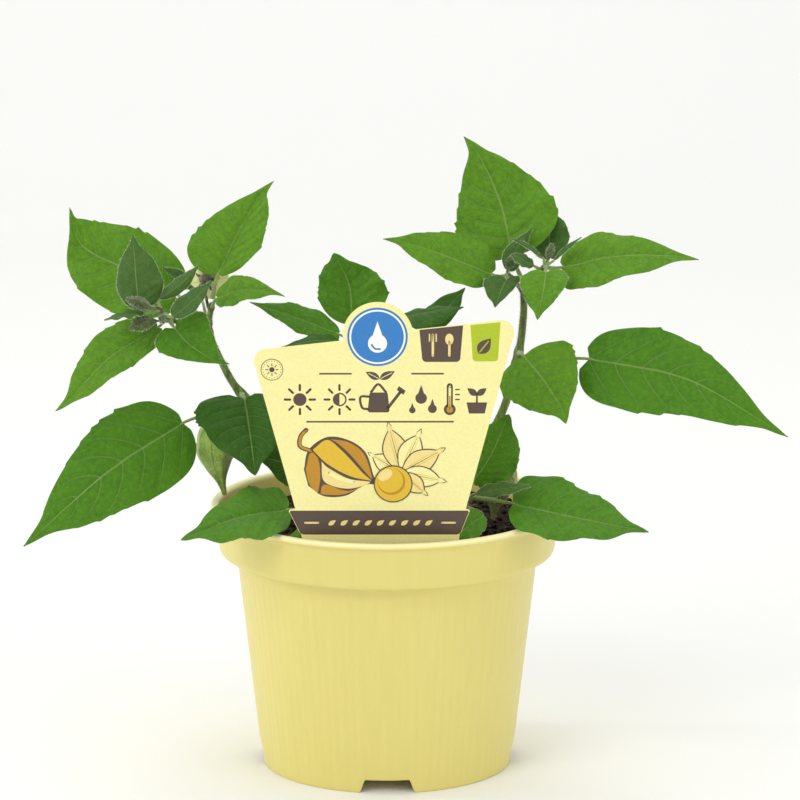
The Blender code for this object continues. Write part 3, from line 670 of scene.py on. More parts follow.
LEAVES = [
    Leaf("left_back_leaf", "left", 0.84, [(-74, 21, 160), (-90, 24, 167), (-104, 27, 174), (-109, 27, 186)],
         (-7, -4, -13), (5, 4, 12.5), 0.30, 6),
    Leaf("left_top_leaf", "left", 1.0, [(-57, 2, 169), (-50, 6, 183), (-40, 8, 200)],
         (-13.5, 2, 2.5), (10.5, -4, 2), 0.30, 1),
    Leaf("left_inner_leaf", "left", 0.96, [(-57, -4, 162), (-48, -10, 166), (-34, -16, 166)],
         (0.5, 3, 5), (0, -6, -3), 0.28, 1),
    Leaf("left_behind_leaf", "left", 0.78, [(-64, 15, 160.5), (-70, 15.5, 164.5), (-77, 16, 169)],
         (1.5, -1, -2.5), (0.5, 1, 3), 0.35, 0),
    Leaf("left_heart_leaf", "left_twig", 0.66, [(-71, -15, 154), (-66, -18, 149), (-54, -22, 142)],
         (8.5, 0, 7), (-7.5, -2, -4.5), 0.25, 2),
    Leaf("left_drooping_leaf", "left_twig", 0.75, [(-77, -9, 153), (-94, -15, 143), (-110, -22, 126)],
         (4.5, -5, -4), (-6, 3, 6), 0.33, 1),
    Leaf("left_young_leaf", "left_twig", 1.0, [(-83, -15, 161.5), (-84, -13, 172.5), (-85, -9, 184.5)],
         (-6.5, 2, -1), (8.5, 4, -1), 0.35, 1),
    Leaf("left_narrow_leaf", "left_twig", 0.93, [(-76, -10, 163), (-69, -9, 168), (-63, -7, 174)],
         (-2, 3, 1), (2, 0, -1.5), 0.38, 0),
    Leaf("left_small_leaf", "left_twig", 0.8, [(-71, -22, 159.5), (-65, -22, 164.5), (-58, -19, 171)],
         (-2.5, 2, 2.5), (2.5, -2, -1.5), 0.35, 0.5),
    Leaf("left_edge_leaf", "left_twig", 0.9, [(-81, -19, 160), (-87, -22, 160), (-94, -25, 159)],
         (0.5, -6, 0), (-0.5, 7, 0), 0.35, 0),
    Leaf("left_big_leaf", "left", 0.38, [(-69, -4, 119), (-94, -22, 106), (-121, -40, 85)],
         (10, -4, -12.5), (-10, 6, 11), 0.28, 1),
    Leaf("left_dark_leaf", "left", 0.42, [(-48, -8, 128), (-46, -18, 119), (-44, -30, 107)],
         (12.5, -1, 2), (-17, -6, 1.5), 0.28, 2, 1.2),
    Leaf("label_back_leaf", "left", 0.18, [(-18, -4, 103), (-29, -8, 105), (-43, -12, 109)],
         (0, -5, -8), (0, 4, 9.5), 0.45, 0, 1.2),
    Leaf("left_rim_leaf", "left_low", 1.0, [(-33, -29, 95), (-49, -42, 95.5), (-68, -54, 91)],
         (2, -17, -4), (-1.5, 12, 6), 0.30, 1, 1.3),
    Leaf("front_rim_leaf", "left_low", 0.7, [(-14, -32, 93), (-23, -37, 91), (-34, -43, 88.5)],
         (0.5, -3, -2), (-1.5, 5, 2), 0.35, 0),
    Leaf("back_upper_leaf", "back", 1.0, [(-12, 24, 149), (-13, 28, 160), (-18, 30, 171)],
         (-11, 2, 0), (12.5, -2, 2), 0.35, 2, 1.3),
    Leaf("back_left_leaf", "back", 0.98, [(-17, 19, 145), (-31, 22, 150), (-47, 24, 155)],
         (0, -5, -4), (0.5, 5, 4), 0.30, 1),
    Leaf("back_low_leaf", "back", 0.86, [(-16, 10, 144), (-25, 8, 145), (-36, 6, 143)],
         (0, -6, -1), (0, 7, 0.5), 0.35, 0),
    Leaf("back_right_leaf", "back", 0.97, [(11, 26, 144), (20, 30, 151), (27, 34, 158)],
         (-4, 2, 2.5), (3, -2, -2.5), 0.38, 0),
    Leaf("back_flat_leaf", "back", 0.90, [(4, 13, 152), (15, 13, 154), (26, 11, 156)],
         (0, 5, 0.5), (0, -8, -3.5), 0.35, 0),
    Leaf("right_top_leaf", "right", 1.0, [(42, 6, 176), (38, 10, 193), (28, 12, 215)],
         (-16.5, 3, -5), (17, -2, 6), 0.27, 2),
    Leaf("right_behind_leaf", "right_outer_twig", 0.7, [(55, 8, 174), (55, 9, 182), (56, 7, 190)],
         (-6, 2, -2), (6.5, -2, 0), 0.40, 1, 1.3),
    Leaf("right_outer_leaf", "right_outer_twig", 0.92, [(59, -6, 173), (78, -12, 178), (104, -18, 179)],
         (0, 6, 7.5), (-2.5, -8, -8), 0.28, 1),
    Leaf("right_inner_leaf", "right_inner_twig", 0.85, [(35, -8, 171), (18, -14, 179), (-1, -18, 186)],
         (-2, -5, -6), (3, 5, 7.5), 0.28, 1),
    Leaf("right_small_heart_leaf", "right_inner_twig", 1.0, [(40, -13, 170), (38, -17, 167), (36, -20, 162)],
         (5, 0, 1), (-6.5, 0, 1.5), 0.25, 1.5, 1.2),
    Leaf("right_heart_leaf", "right_outer_twig", 1.0, [(53, -16, 173), (52, -22, 168), (50, -26, 159)],
         (7.5, 0, 1), (-8, 0, 0.5), 0.28, 1.5, 1.3),
    Leaf("right_dark_leaf", "right_outer_twig", 0.8, [(49, -11, 174.5), (45, -12.5, 177), (41, -14, 179)],
         (-0.5, -3, -1.5), (1, 3, 1), 0.40, 0),
    Leaf("right_tiny_leaf", "right_inner_twig", 0.7, [(41, 0, 171), (43, 1, 177), (49, 2, 185)],
         (-3, 1, 1), (3, 0, -1.5), 0.35, 0.5),
    Leaf("right_needle_left_leaf", "right_outer_twig", 1.0, [(52, -9, 177), (47, -10, 181), (41, -11, 184)],
         (-0.3, -1, -0.5), (0.3, 1, 0.5), 0.40, 0),
    Leaf("right_needle_right_leaf", "right_outer_twig", 1.0, [(56, -9, 176), (60, -9, 180), (65, -10, 184)],
         (-0.3, 1, 0.5), (0.3, -1, -0.5), 0.40, 0),
    Leaf("right_middle_leaf", "right", 0.63, [(46, -10, 143.5), (53, -18, 136), (61, -26, 124.5)],
         (12, 2, 7.5), (-11, -5, -7), 0.28, 0.5, 1.3),
    Leaf("right_big_leaf", "right", 0.58, [(68, -6, 141.5), (101, -16, 136.5), (134, -26, 119)],
         (5, 6, 12), (-5.5, -7, -13), 0.25, 2),
    Leaf("label_right_leaf", "right_low", 0.9, [(29, -19, 102), (35, -17, 111), (41, -13, 124)],
         (-8.5, 2, 3.5), (9, -1, -3.5), 0.40, 1, 1.3),
    Leaf("right_low_narrow_leaf", "right_low", 0.95, [(30, -27, 100), (38, -31, 102.5), (48, -35, 104.5)],
         (-0.5, 3, 1.5), (0.5, -3, -1.5), 0.40, 0),
    Leaf("right_rim_leaf", "right_low", 1.0, [(42, -29, 97), (63, -45, 96), (86, -58, 94.5)],
         (2.5, 13, 8.5), (-2.5, -13, -5.5), 0.25, 1, 1.3),
    Leaf("front_right_leaf", "right_low", 0.8, [(32, -35, 94), (27, -38, 91.5), (22, -41, 88)],
         (2, -5, -3), (-2.5, 4, 3), 0.35, 1),
]
YOUNG = {"left_young_leaf", "left_narrow_leaf", "left_small_leaf", "left_edge_leaf", "right_behind_leaf",
         "right_dark_leaf", "right_tiny_leaf", "right_needle_left_leaf", "right_needle_right_leaf",
         "right_low_narrow_leaf", "right_small_heart_leaf", "left_behind_leaf"}
# Painted shade: the first set of leaves stands in shade and gets the darker leaf colour. Painted light: the
# second set stands in the light and gets the lighter one.
PAINTED_SHADE_LEAVES = {"left_dark_leaf", "label_back_leaf", "back_low_leaf", "back_right_leaf", "back_flat_leaf"}
PAINTED_LIGHT_LEAVES = {"left_back_leaf", "left_top_leaf", "left_inner_leaf", "left_drooping_leaf", "right_top_leaf",
          "right_outer_leaf", "right_inner_leaf", "right_middle_leaf", "right_heart_leaf"}
# How far a drawn-out tip hooks aside, in millimetres: to the right where it is positive.
HOOKS = {"left_back_leaf": 1.5, "left_top_leaf": 2.0, "right_top_leaf": -2.2, "left_heart_leaf": -2.0,
         "right_outer_leaf": 1.4, "right_inner_leaf": -1.2, "left_drooping_leaf": 1.6,
         "left_inner_leaf": 1.2, "right_middle_leaf": 1.5}
FRINGED = YOUNG | {"right_heart_leaf", "left_heart_leaf", "front_right_leaf", "left_inner_leaf"}
VEIN_STEP = 0.135        # side veins leave the midrib this far apart, as a part of its length
VEIN_SWEEP = 0.24        # how far forward a side vein has swept when it nears the margin
STALK_RADIUS = 0.72


def leaf_face(name, colour, under=False):
    """Living leaf: a soft satin skin, mottled green, with thin pale veins in shallow furrows, a fine net
    between them, and a felt of hairs that lightens it at a glance."""
    surface, tree, shader = new_material(name, 0.52, 0.25, 1.4)
    base = list(colour)
    marks = add_node(tree, "UVMap", 0, {"uv_map": "marks"})
    along, aside = (add_node(tree, "SeparateXYZ", axis, Vector=marks) for axis in "XY")
    across = add_node(tree, "Math", 0, {"operation": "ABSOLUTE"}, i0=aside)
    curved = add_node(tree, "Math", 0, {"operation": "POWER"}, i0=across, i1=1.3)
    swept = add_node(tree, "Math", 0, {"operation": "MULTIPLY_ADD"}, i0=curved, i1=-VEIN_SWEEP, i2=along)
    phase = add_node(tree, "Math", 0, {"operation": "DIVIDE"}, i0=swept, i1=VEIN_STEP)
    beside = add_node(tree, "Math", 0, {"operation": "PINGPONG"}, i0=phase, i1=0.5)
    side_vein = drawn_line(tree, beside, 0.012, 0.05, drawn_line(tree, across, 0.5, 0.95))
    halo = drawn_line(tree, beside, 0.05, 0.3, drawn_line(tree, across, 0.4, 1.0))
    midrib = drawn_line(tree, across, 0.008, 0.03)
    fine = vein_net(tree, 2.0, 1.2, 0.02, 0.12)
    mottle = laid_over(tree, scaled(base, 0.82), scaled(base, 1.14),
                       patches(tree, 1.6, 0.35, 0.65, detail=4.0))
    sunned = scaled([base[0] * 1.25, base[1] * 1.12, base[2] * 0.8], 1.05)
    broad = laid_over(tree, mottle, sunned, patches(tree, 14, 0.35, 0.7), 0.5)
    netted = laid_over(tree, broad, scaled(base, 0.62), fine, 0.22)
    haloed = laid_over(tree, netted, scaled(base, 0.72), halo, 0.25)
    vein_colour = [c * 0.45 + d * 0.55 for c, d in zip(base, linear("#A9BE7C"))]
    veined = laid_over(tree, haloed, vein_colour, side_vein, 0.30)
    ribbed = laid_over(tree, veined, scaled(vein_colour, 1.05), midrib, 0.62)
    grain = patches(tree, 0.9, start=0.0, end=0.5, detail=2.0)
    pricked = add_node(tree, "Math", 0, {"operation": "MULTIPLY_ADD"}, i0=fine, i1=-0.35, i2=grain)
    furrowed = add_node(tree, "Math", 0, {"operation": "MULTIPLY_ADD"}, i0=side_vein, i1=-0.6, i2=pricked)
    relief = add_node(tree, "Bump", Height=furrowed, Distance=0.25 * MM, Strength=-0.7 if under else 0.7)
    set_inputs(shader, Base_Color=ribbed, Normal=relief, Roughness=patches(tree, 3, 0.3, 0.7, 0.46, 0.6),
               Sheen_Weight=0.25 if under else 0.06, Sheen_Roughness=0.45, Sheen_Tint=linear("#DDE8C8"),
               Subsurface_Weight=0.06, Subsurface_Radius=(0.5, 0.9, 0.2), Subsurface_Scale=0.6 * MM)
    return surface


def leaf_stalk():
    """Living leaf stalk: paler than the stem, satin, with faint patches."""
    surface, tree, shader = new_material("pale green leaf stalk", 0.5, 0.4, 1.4)
    colour = laid_over(tree, linear("#6F8A3E"), linear("#93AA5E"), patches(tree, 4))
    set_inputs(shader, Base_Color=colour, Sheen_Weight=0.3)
    return surface


def blade_width(u, widest, slender):
    """Half-width from 0 to 1 along the midrib: a round base, broadest at widest, a drawn-out tip."""
    return (u / widest) ** (slender * widest) * ((1 - u) / (1 - widest)) ** (slender * (1 - widest))


def margin_teeth(dice, size):
    """A few shallow uneven teeth that point to the tip, as (place, length, height)."""
    teeth = []
    place_at = dice.uniform(0.16, 0.24)
    while place_at < 0.84:
        length = dice.uniform(0.06, 0.12)
        place_at += length
        if dice.random() < 0.8:
            teeth.append((place_at, length, size * dice.uniform(0.35, 1.3)))
    return teeth


def tooth_reach(teeth, u):
    reach = 1.0
    for place_at, length, height in teeth:
        if place_at - length < u <= place_at:
            reach += height * ((u - place_at + length) / length) ** 1.6
        elif place_at < u < place_at + 0.012:
            reach += height * (1 - (u - place_at) / 0.012)
    return reach


def leaf_relief(u, across, half_width, settings, offset):
    """How far a point of the blade stands off its flat halves, in millimetres."""
    v = abs(across)
    beside = v * half_width
    size = min(1.0, half_width / 9)
    arch = 0.20 * half_width * v * (1 - v)
    midrib = -0.4 * size * exp(-(beside / 0.8) ** 2)
    phase = (u - VEIN_SWEEP * v ** 1.3) / VEIN_STEP
    swell = abs(sin(pi * phase)) ** 0.7 - 0.45
    quilt = settings.vein_relief / MM * size * swell * min(1, beside / 2.5) * (1 - v ** 5)
    wave = 0.75 * size * v ** 3 * sin(u * 19 + offset + (2 if across > 0 else 0))
    return arch + midrib + quilt + wave


def blade_rows(leaf, settings, dice):
    """Points of the blade's middle surface, with the way up from each and its marks."""
    rib = [Vector(p) for p in leaf.rib]
    length = sum((b - a).length for a, b in zip(rib, rib[1:]))
    spreading = Vector(leaf.right) - Vector(leaf.left)
    broad = spreading.length
    hook = spreading.normalized() * HOOKS.get(leaf.name, 0)
    rows_count = min(max(int(length / 0.55), 26), 120)
    columns = 2 * min(max(int(broad / 1.6), 5), 16)
    sides = (margin_teeth(dice, settings.tooth_size), margin_teeth(dice, settings.tooth_size))
    if broad < 12:
        sides = ([], [])
    offset = dice.uniform(0, 6)
    rows = []
    for i in range(rows_count + 1):
        u = 0.003 + 0.995 * (i / rows_count) ** 1.25
        here = smooth_point(rib, u)
        ahead = (smooth_point(rib, min(u + 0.02, 1)) - smooth_point(rib, max(u - 0.02, 0))).normalized()
        up = spreading.cross(ahead).normalized()
        width = max(blade_width(u, leaf.widest, leaf.slender), 0.015)
        width *= 1 - 0.34 * exp(-((u - 0.9) / 0.09) ** 2)
        here = here + hook * max(0, (u - 0.78) / 0.22) ** 2
        back = ahead * leaf.heart * (1 - u) ** 6
        row = []
        for j in range(columns + 1):
            across = 2 * j / columns - 1
            v = abs(across)
            spread = Vector(leaf.right if across > 0 else leaf.left)
            reach = 1 + (tooth_reach(sides[across > 0], u) - 1) * v ** 3
            flat = here + spread * width * v * reach - back * v
            lift = leaf_relief(u, across, spread.length * width, settings, offset)
            lift += 0.5 * min(1, broad / 25) * noise.noise(flat * 0.13 + Vector((offset, 0, 0)))
            row.append((flat + up * lift * min(1, u * 12), up, (u, across)))
        rows.append(row)
    return rows


def blade_skin(shape, rows):
    """Close the blade: an upper face, a lower face and a thin rounded margin."""
    columns = len(rows[0]) - 1
    size = columns + 1
    points, marks = [], []
    for side in (1, -1):
        for row in rows:
            for j, (p, up, mark) in enumerate(row):
                v = abs(2 * j / columns - 1)
                thick = 0.2 + 0.16 * exp(-(v * 12) ** 2) if side < 0 else 0.16
                thick *= 1 - 0.6 * v ** 6
                points.append(p + up * thick * side)
                marks.append(mark)
    count = len(rows) * size
    faces, finishes = [], []
    for i in range(len(rows) - 1):
        for j in range(columns):
            a, b, c, d = i * size + j, i * size + j + 1, (i + 1) * size + j + 1, (i + 1) * size + j
            faces.append((a, b, c, d))
            faces.append((count + d, count + c, count + b, count + a))
            finishes += [0, 1]
        for j in (0, columns):
            a, d = i * size + j, (i + 1) * size + j
            faces.append((a, d, count + d, count + a) if j == 0 else (d, a, count + a, count + d))
            finishes.append(1)
    last = (len(rows) - 1) * size
    for j in range(columns):
        faces.append((j + 1, j, count + j, count + j + 1))
        faces.append((last + j, last + j + 1, count + last + j + 1, count + last + j))
        finishes += [1, 1]
    shape.add(points, faces, 0, marks)
    shape.finishes[-len(faces):] = finishes


def fringe(shape, rows, dice, length, finish):
    """Fine hairs along the margin and a few along the midrib."""
    middle = (len(rows[0]) - 1) // 2
    for i in range(1, len(rows) - 1):
        for j, beside in ((0, 1), (-1, -2)):
            edge, up = rows[i][j][:2]
            out = edge - rows[i][beside][0]
            if out.length < 1e-4:
                continue
            ahead = (rows[i + 1][j][0] - rows[i - 1][j][0]).normalized()
            for n in range(4):
                foot = edge + ahead * dice.uniform(-0.35, 0.35)
                way = out.normalized() + ahead * dice.uniform(-0.3, 0.7)
                way += up * dice.uniform(-0.5, 0.6)
                hair(shape, foot, way.normalized(), length * dice.uniform(0.5, 1.0), 0.04, finish)
        if i % 2 == 0:
            foot, up = rows[i][middle][:2]
            way = (up + Vector((dice.uniform(-0.5, 0.5), dice.uniform(-0.5, 0.5), 0))).normalized()
            hair(shape, foot, way, length * 0.7, 0.04, finish)


def build_leaves(settings):
    """Every leaf as a thin closed blade on its stalk, with furrowed veins, teeth and hairs."""
    finishes = {}
    # Painted light and shade: two of these leaf colours are a lighter and a darker copy of the grown leaf
    # colour, painted on leaves in the light and in shade.
    for kind, colour in (("sunlit", settings.sunlit), ("grown", settings.grown),
                         ("shaded", settings.shaded), ("young", settings.young)):
        upper = leaf_face(kind + " leaf upper face", colour)
        grey = [c * 0.72 + d * 0.28 for c, d in zip(colour, linear("#9DB088"))]
        finishes[kind] = [upper, leaf_face(kind + " leaf under face", grey, under=True)]
    stalk, hairs = leaf_stalk(), pale_hair()
    for leaf in LEAVES:
        dice = Random(leaf.name)
        kind = "grown"
        for other, names in (("sunlit", PAINTED_LIGHT_LEAVES), ("shaded", PAINTED_SHADE_LEAVES), ("young", YOUNG)):
            kind = other if leaf.name in names else kind
        shape = Shape()
        rows = blade_rows(leaf, settings, dice)
        blade_skin(shape, rows)
        foot = on_shoot(leaf.shoot, leaf.at, leaf.rib[0], 0.0)
        route = [foot, Vector(leaf.rib[0])] + [Vector(p) for p in leaf.rib[1:]]
        reach = 1.0 / (len(route) - 1)
        broad = (Vector(leaf.right) - Vector(leaf.left)).length
        thick = STALK_RADIUS * min(1.0, 0.62 + broad / 60)
        stalk_points = [smooth_point(route, reach * s / 6) for s in range(7)]
        if broad > 9:
            for part in (0.1, 0.3, 0.5, 0.7):
                point, up = rows[int(len(rows) * part)][len(rows[0]) // 2][:2]
                stalk_points.append(point + up * -0.25)

            def radius(at):
                if at >= 0.98:
                    return 0.1
                return thick * (1.25 - 1.0 * at if at < 0.6 else 0.65 - 1.3 * (at - 0.6))
        else:
            def radius(at):
                return thick * (1.15 - 0.35 * at)
        tube(shape, stalk_points, radius, 30, 10, 2)
        for n in range(int(14 + broad)):
            at = dice.uniform(0.02, 0.55)
            ahead = heading(stalk_points, at)
            out = Matrix.Rotation(dice.uniform(0, 2 * pi), 3, ahead) @ ahead.orthogonal().normalized()
            hair(shape, smooth_point(stalk_points, at) + out * radius(at) * 0.95, out,
                 settings.hair_length / MM * dice.uniform(0.4, 0.9), 0.045, 3)
        if leaf.name in FRINGED:
            fringe(shape, rows, dice, settings.hair_length / MM * 0.75, 3)
        shape.become(leaf.name.replace("_leaf", "_blade"), finishes[kind] + [stalk, hairs],
                     [leaf.name], sharp=70)


# ---- husks, buds and flower -----------------------------------------------------------------------

# Each fruit or bud: its shoot, where on it, the route of its stalk and body, and the radii along that.
HUSK_SHAPE = [0.6, 0.6, 0.9, 5.0, 6.6, 6.9, 6.0, 4.0, 1.6, 0.7]
LONG_BUD = [0.5, 0.5, 0.6, 1.9, 2.2, 1.5, 0.3]
ROUND_BUD = [0.4, 0.4, 0.5, 2.2, 2.8, 2.2, 0.5]
SMALL_BUD = [0.4, 0.4, 1.2, 1.7, 1.2, 0.4]
FRUITS = {
    "left_husk": ("left", 0.36, [(-58, 6, 116), (-58.5, 6, 109), (-58, 6, 102), (-55.5, 6, 91.5)],
                  HUSK_SHAPE),
    "right_husk": ("right", 0.30, [(37, -6, 106), (37.5, -6, 101), (37, -6, 94.5), (36, -6, 86)],
                   HUSK_SHAPE),
    "long_bud": ("left_twig", 1.0, [(-79, -19, 162), (-83, -21, 164), (-87, -22, 165.5)], LONG_BUD),
    "round_bud": ("left_twig", 0.6, [(-77, -15, 156.5), (-82, -17, 156), (-86, -18, 154.5)], ROUND_BUD),
    "small_round_bud": ("left_twig", 0.84, [(-75, -17.5, 158), (-74.5, -20.5, 157)], SMALL_BUD),
    "under_bud": ("left_twig", 0.6, [(-71, -5, 149), (-71, -5, 142)], SMALL_BUD),
    "right_tall_bud": ("right_outer_twig", 1.0, [(54.5, -5.5, 177.5), (55.5, -5, 181)], SMALL_BUD),
    "right_inner_bud": ("right_inner_twig", 1.0, [(41, -9, 174.5), (42, -9, 177.5)], SMALL_BUD),
}
FLOWER_CENTRE = (-61, 5.5, 166.5)
FLOWER_FACE = (0.25, 0.95, 0.1)
COROLLA_RADIUS = 7.3
COROLLA_DEPTH = 3.0


def papery_husk(name, light, dark):
    """Papery calyx: thin, matt and a little translucent, with raised ribs and a net of veins."""
    surface, tree, shader = new_material(name, 0.62, 0.35, 1.4)
    light, dark = linear(light), linear(dark)
    turn = add_node(tree, "SeparateXYZ", "Y", Vector=add_node(tree, "UVMap", 0, {"uv_map": "marks"}))
    tenths = add_node(tree, "Math", 0, {"operation": "MULTIPLY"}, i0=turn, i1=10.0)
    rib = add_node(tree, "Math", 0, {"operation": "PINGPONG"}, i0=tenths, i1=0.5)
    ribs = drawn_line(tree, rib, 0.03, 0.10)
    veins = vein_net(tree, 1.9, 0.0, 0.03, 0.12)
    skin = laid_over(tree, light, dark, patches(tree, 5, 0.35, 0.65))
    veined = laid_over(tree, skin, scaled(dark, 0.7), veins, 0.3)
    raised = add_node(tree, "Math", 0, {"operation": "ADD"}, i0=veins, i1=ribs)
    relief = add_node(tree, "Bump", Height=raised, Distance=0.2 * MM, Strength=0.6)
    set_inputs(shader, Base_Color=laid_over(tree, veined, scaled(dark, 0.6), ribs, 0.6), Normal=relief,
               Sheen_Weight=0.35, Subsurface_Weight=0.15, Subsurface_Radius=(0.8, 1.0, 0.3),
               Subsurface_Scale=1.0 * MM)
    return surface


def hairy_bud(name, light, dark):
    """Young calyx: dull grey green under a dense coat of hairs, with darker patches."""
    surface, tree, shader = new_material(name, 0.75, 0.3, 1.4)
    felt = add_node(tree, "Bump", Height=patches(tree, 0.6), Distance=0.15 * MM, Strength=0.6)
    colour = laid_over(tree, linear(light), linear(dark), patches(tree, 1.2, 0.35, 0.65))
    set_inputs(shader, Base_Color=colour, Sheen_Weight=0.6, Sheen_Tint=linear("#E4E8D4"), Normal=felt)
    return surface


def bud_hairs(shape, route, shape_radii, dice, count, length, finish, start=0.35):
    for n in range(count):
        at = dice.uniform(start, 0.99)
        ahead = heading(route, at)
        out = Matrix.Rotation(dice.uniform(0, 2 * pi), 3, ahead) @ ahead.orthogonal().normalized()
        foot = smooth_point(route, at) + out * spread_value(shape_radii, at) * 0.93
        hair(shape, foot, (out + ahead * dice.uniform(0, 0.9)).normalized(), length * dice.uniform(0.5, 1),
             0.045, finish)


def build_fruits():
    """Two husks with ten ribs that pinch to a point, and the hairy five-ribbed flower buds."""
    pale = papery_husk("pale green papery husk", "#A9C264", "#86A645")
    olive = papery_husk("olive papery husk", "#8E9A55", "#6F7C3C")
    bud, hairs = hairy_bud("hairy grey green bud", "#5F7040", "#3C4629"), pale_hair()
    for name, (shoot, at, route, radii) in FRUITS.items():
        dice = Random(name)
        foot = on_shoot(shoot, at, route[0], 0.0)
        whole = [foot] + [Vector(p) for p in route]
        husk = radii is HUSK_SHAPE

        def form(where, turn, husk=husk):
            body = max(0.0, min(1.0, (where - 0.26) / 0.12))
            if husk:
                point = max(0.0, min(1.0, (where - 0.72) / 0.2))
                major = abs(cos(2.5 * turn)) ** 1.6
                minor = abs(cos(5 * turn)) ** 3
                return 1 + body * (0.10 * major + 0.035 * minor - 0.07) + 0.22 * point * (major - 0.5)
            return 1 + body * 0.10 * cos(5 * turn)
        shape = Shape()
        scale = 1.0 if husk else 0.86
        stations, sides = (90, 60) if husk else (40, 30)
        tube(shape, whole, lambda where: spread_value(radii, where) * scale, stations, sides, 0, form)
        if husk:
            bud_hairs(shape, whole, radii, dice, 260, 0.7, 1, 0.05)
        else:
            bud_hairs(shape, whole, radii, dice, 240 if radii is not SMALL_BUD else 120, 0.7, 1)
        body = pale if name == "left_husk" else olive if husk else bud
        shape.become(name + ("_lantern" if husk else "_calyx"), [body, hairs],
                     [name], sharp=60)


def petal_skin(settings):
    """Fresh petals: thin, satin and pale yellow, greenish to the throat, with fine veins out to the rim."""
    surface, tree, shader = new_material("fresh pale yellow petal", 0.5, 0.35, 1.4)
    base = list(settings.petals)
    marks = add_node(tree, "UVMap", 0, {"uv_map": "marks"})
    outward, turn = (add_node(tree, "SeparateXYZ", axis, Vector=marks) for axis in "XY")
    rays = add_node(tree, "Math", 0, {"operation": "MULTIPLY"}, i0=turn, i1=25.0)
    vein = add_node(tree, "Math", 0, {"operation": "PINGPONG"}, i0=rays, i1=0.5)
    petal = laid_over(tree, base, linear("#9AA35A"), drawn_line(tree, outward, 0.05, 0.5), 0.7)
    veined = laid_over(tree, petal, scaled(base, 0.72), drawn_line(tree, vein, 0.04, 0.16), 0.35)
    creases = add_node(tree, "Bump", Height=patches(tree, 1.0), Distance=0.1 * MM, Strength=0.5)
    set_inputs(shader, Base_Color=veined, Normal=creases, Subsurface_Weight=0.15,
               Subsurface_Radius=(0.9, 0.9, 0.5), Subsurface_Scale=0.8 * MM)
    return surface


def build_flower(settings):
    """The open flower: a shallow five-cornered bell with soft folds, and its hairy five-pointed calyx."""
    face = Vector(FLOWER_FACE).normalized()
    centre = Vector(FLOWER_CENTRE)
    side = face.orthogonal().normalized()
    other = face.cross(side)
    petals = Shape()
    rings, marks = [], []
    steps = 22
    sweep = [(s / steps, 0.0) for s in range(steps + 1)] + [(s / steps, 0.28) for s in range(steps, -1, -1)]
    for t, thick in sweep:
        ring = []
        for k in range(100):
            turn = 2 * pi * k / 100
            corner = cos(5 * turn)
            radius = 1.0 + (COROLLA_RADIUS - 1.0) * t
            radius *= 1 + 0.075 * corner * t ** 2
            depth = COROLLA_DEPTH * t ** 1.5 + 0.35 * t * cos(5 * turn + pi) + 0.16 * t * sin(15 * turn)
            out = cos(turn) * side + sin(turn) * other
            ring.append(centre + face * (depth + 0.3 + thick) + radius * out)
            marks.append((t, k / 100))
        rings.append(ring)
    petals.rings(rings + [rings[0]], 0, marks + marks[:100], caps=False)
    petals.become("flower_bell", [petal_skin(settings)], ["flower_corolla"], sharp=70)
    calyx = Shape()
    dice = Random(SEED + 5)
    foot = on_shoot("left", 0.95, centre - 4 * face, 0.0)
    route = [foot, centre - 3.5 * face, centre - 0.5 * face]
    radii = [0.5, 0.5, 1.0, 2.0, 1.9]
    tube(calyx, route, lambda at: spread_value(radii, at), 30, 25, 0,
         lambda at, turn: 1 + 0.08 * cos(5 * turn))
    for n in range(5):
        turn = 2 * pi * (n + 0.5) / 5
        out = cos(turn) * side + sin(turn) * other
        start = centre - face * 0.6 + out * 1.5
        lobe = [start, start + out * 1.6 + face * 0.1, start + out * 3.1 + face * 0.75]
        tube(calyx, lobe, lambda at: 0.72 * (1 - at) ** 0.7 + 0.03, 10, 8, 0)
        bud_hairs(calyx, lobe, [0.7, 0.5, 0.1], dice, 24, 0.7, 1, 0.0)
    bud_hairs(calyx, route, radii, dice, 160, 0.8, 1, 0.4)
    calyx.become("flower_sepals", [hairy_bud("hairy dark calyx", "#5C5A3E", "#3C352B"), pale_hair()],
                 ["flower_calyx"], sharp=60)


# ---- plant label ----------------------------------------------------------------------------------

CREAM, BROWN, BLUE, WHITE, LIME, OCHRE, GOLD, STRAW = range(8)
INK_STEP = 0.014        # one layer of ink stands this far over the one under it


def on_card(x, z, lift):
    """The point at x and z on the front of the leaning card, lifted off it by so many millimetres."""
    lean = radians(CARD_LEAN)
    up, out = z - CARD_FOOT_Z, -CARD_THICK / 2 - lift
    return Vector((x, CARD_Y + out * cos(lean) - up * sin(lean),
                   CARD_FOOT_Z + out * sin(lean) + up * cos(lean)))


def mark(shape, outline, finish, layer=1):
    """A flat printed shape. Each layer of ink stands a hair above the one under it."""
    lift = INK_STEP * layer
    area = sum(a[0] * b[1] - b[0] * a[1] for a, b in zip(outline, outline[1:] + outline[:1]))
    points = list(outline) if area > 0 else list(outline)[::-1]
    front = [on_card(x, z, lift) for x, z in points]
    back = [on_card(x, z, lift - 0.9 * INK_STEP) for x, z in points]
    size = len(points)
    faces = [tuple(range(size)), tuple(range(2 * size - 1, size - 1, -1))]
    faces += [(k, size + k, size + (k + 1) % size, (k + 1) % size) for k in range(size)]
    shape.add(front + back, faces, finish)


def disc(x, z, radius, wide=1.0, start=0.0, end=2 * pi, tilt=0.0, steps=40):
    points = []
    for k in range(steps + (end - start < 2 * pi - 0.01)):
        a = start + (end - start) * k / steps
        px, pz = radius * wide * cos(a), radius * sin(a)
        points.append((x + px * cos(tilt) - pz * sin(tilt), z + px * sin(tilt) + pz * cos(tilt)))
    return points


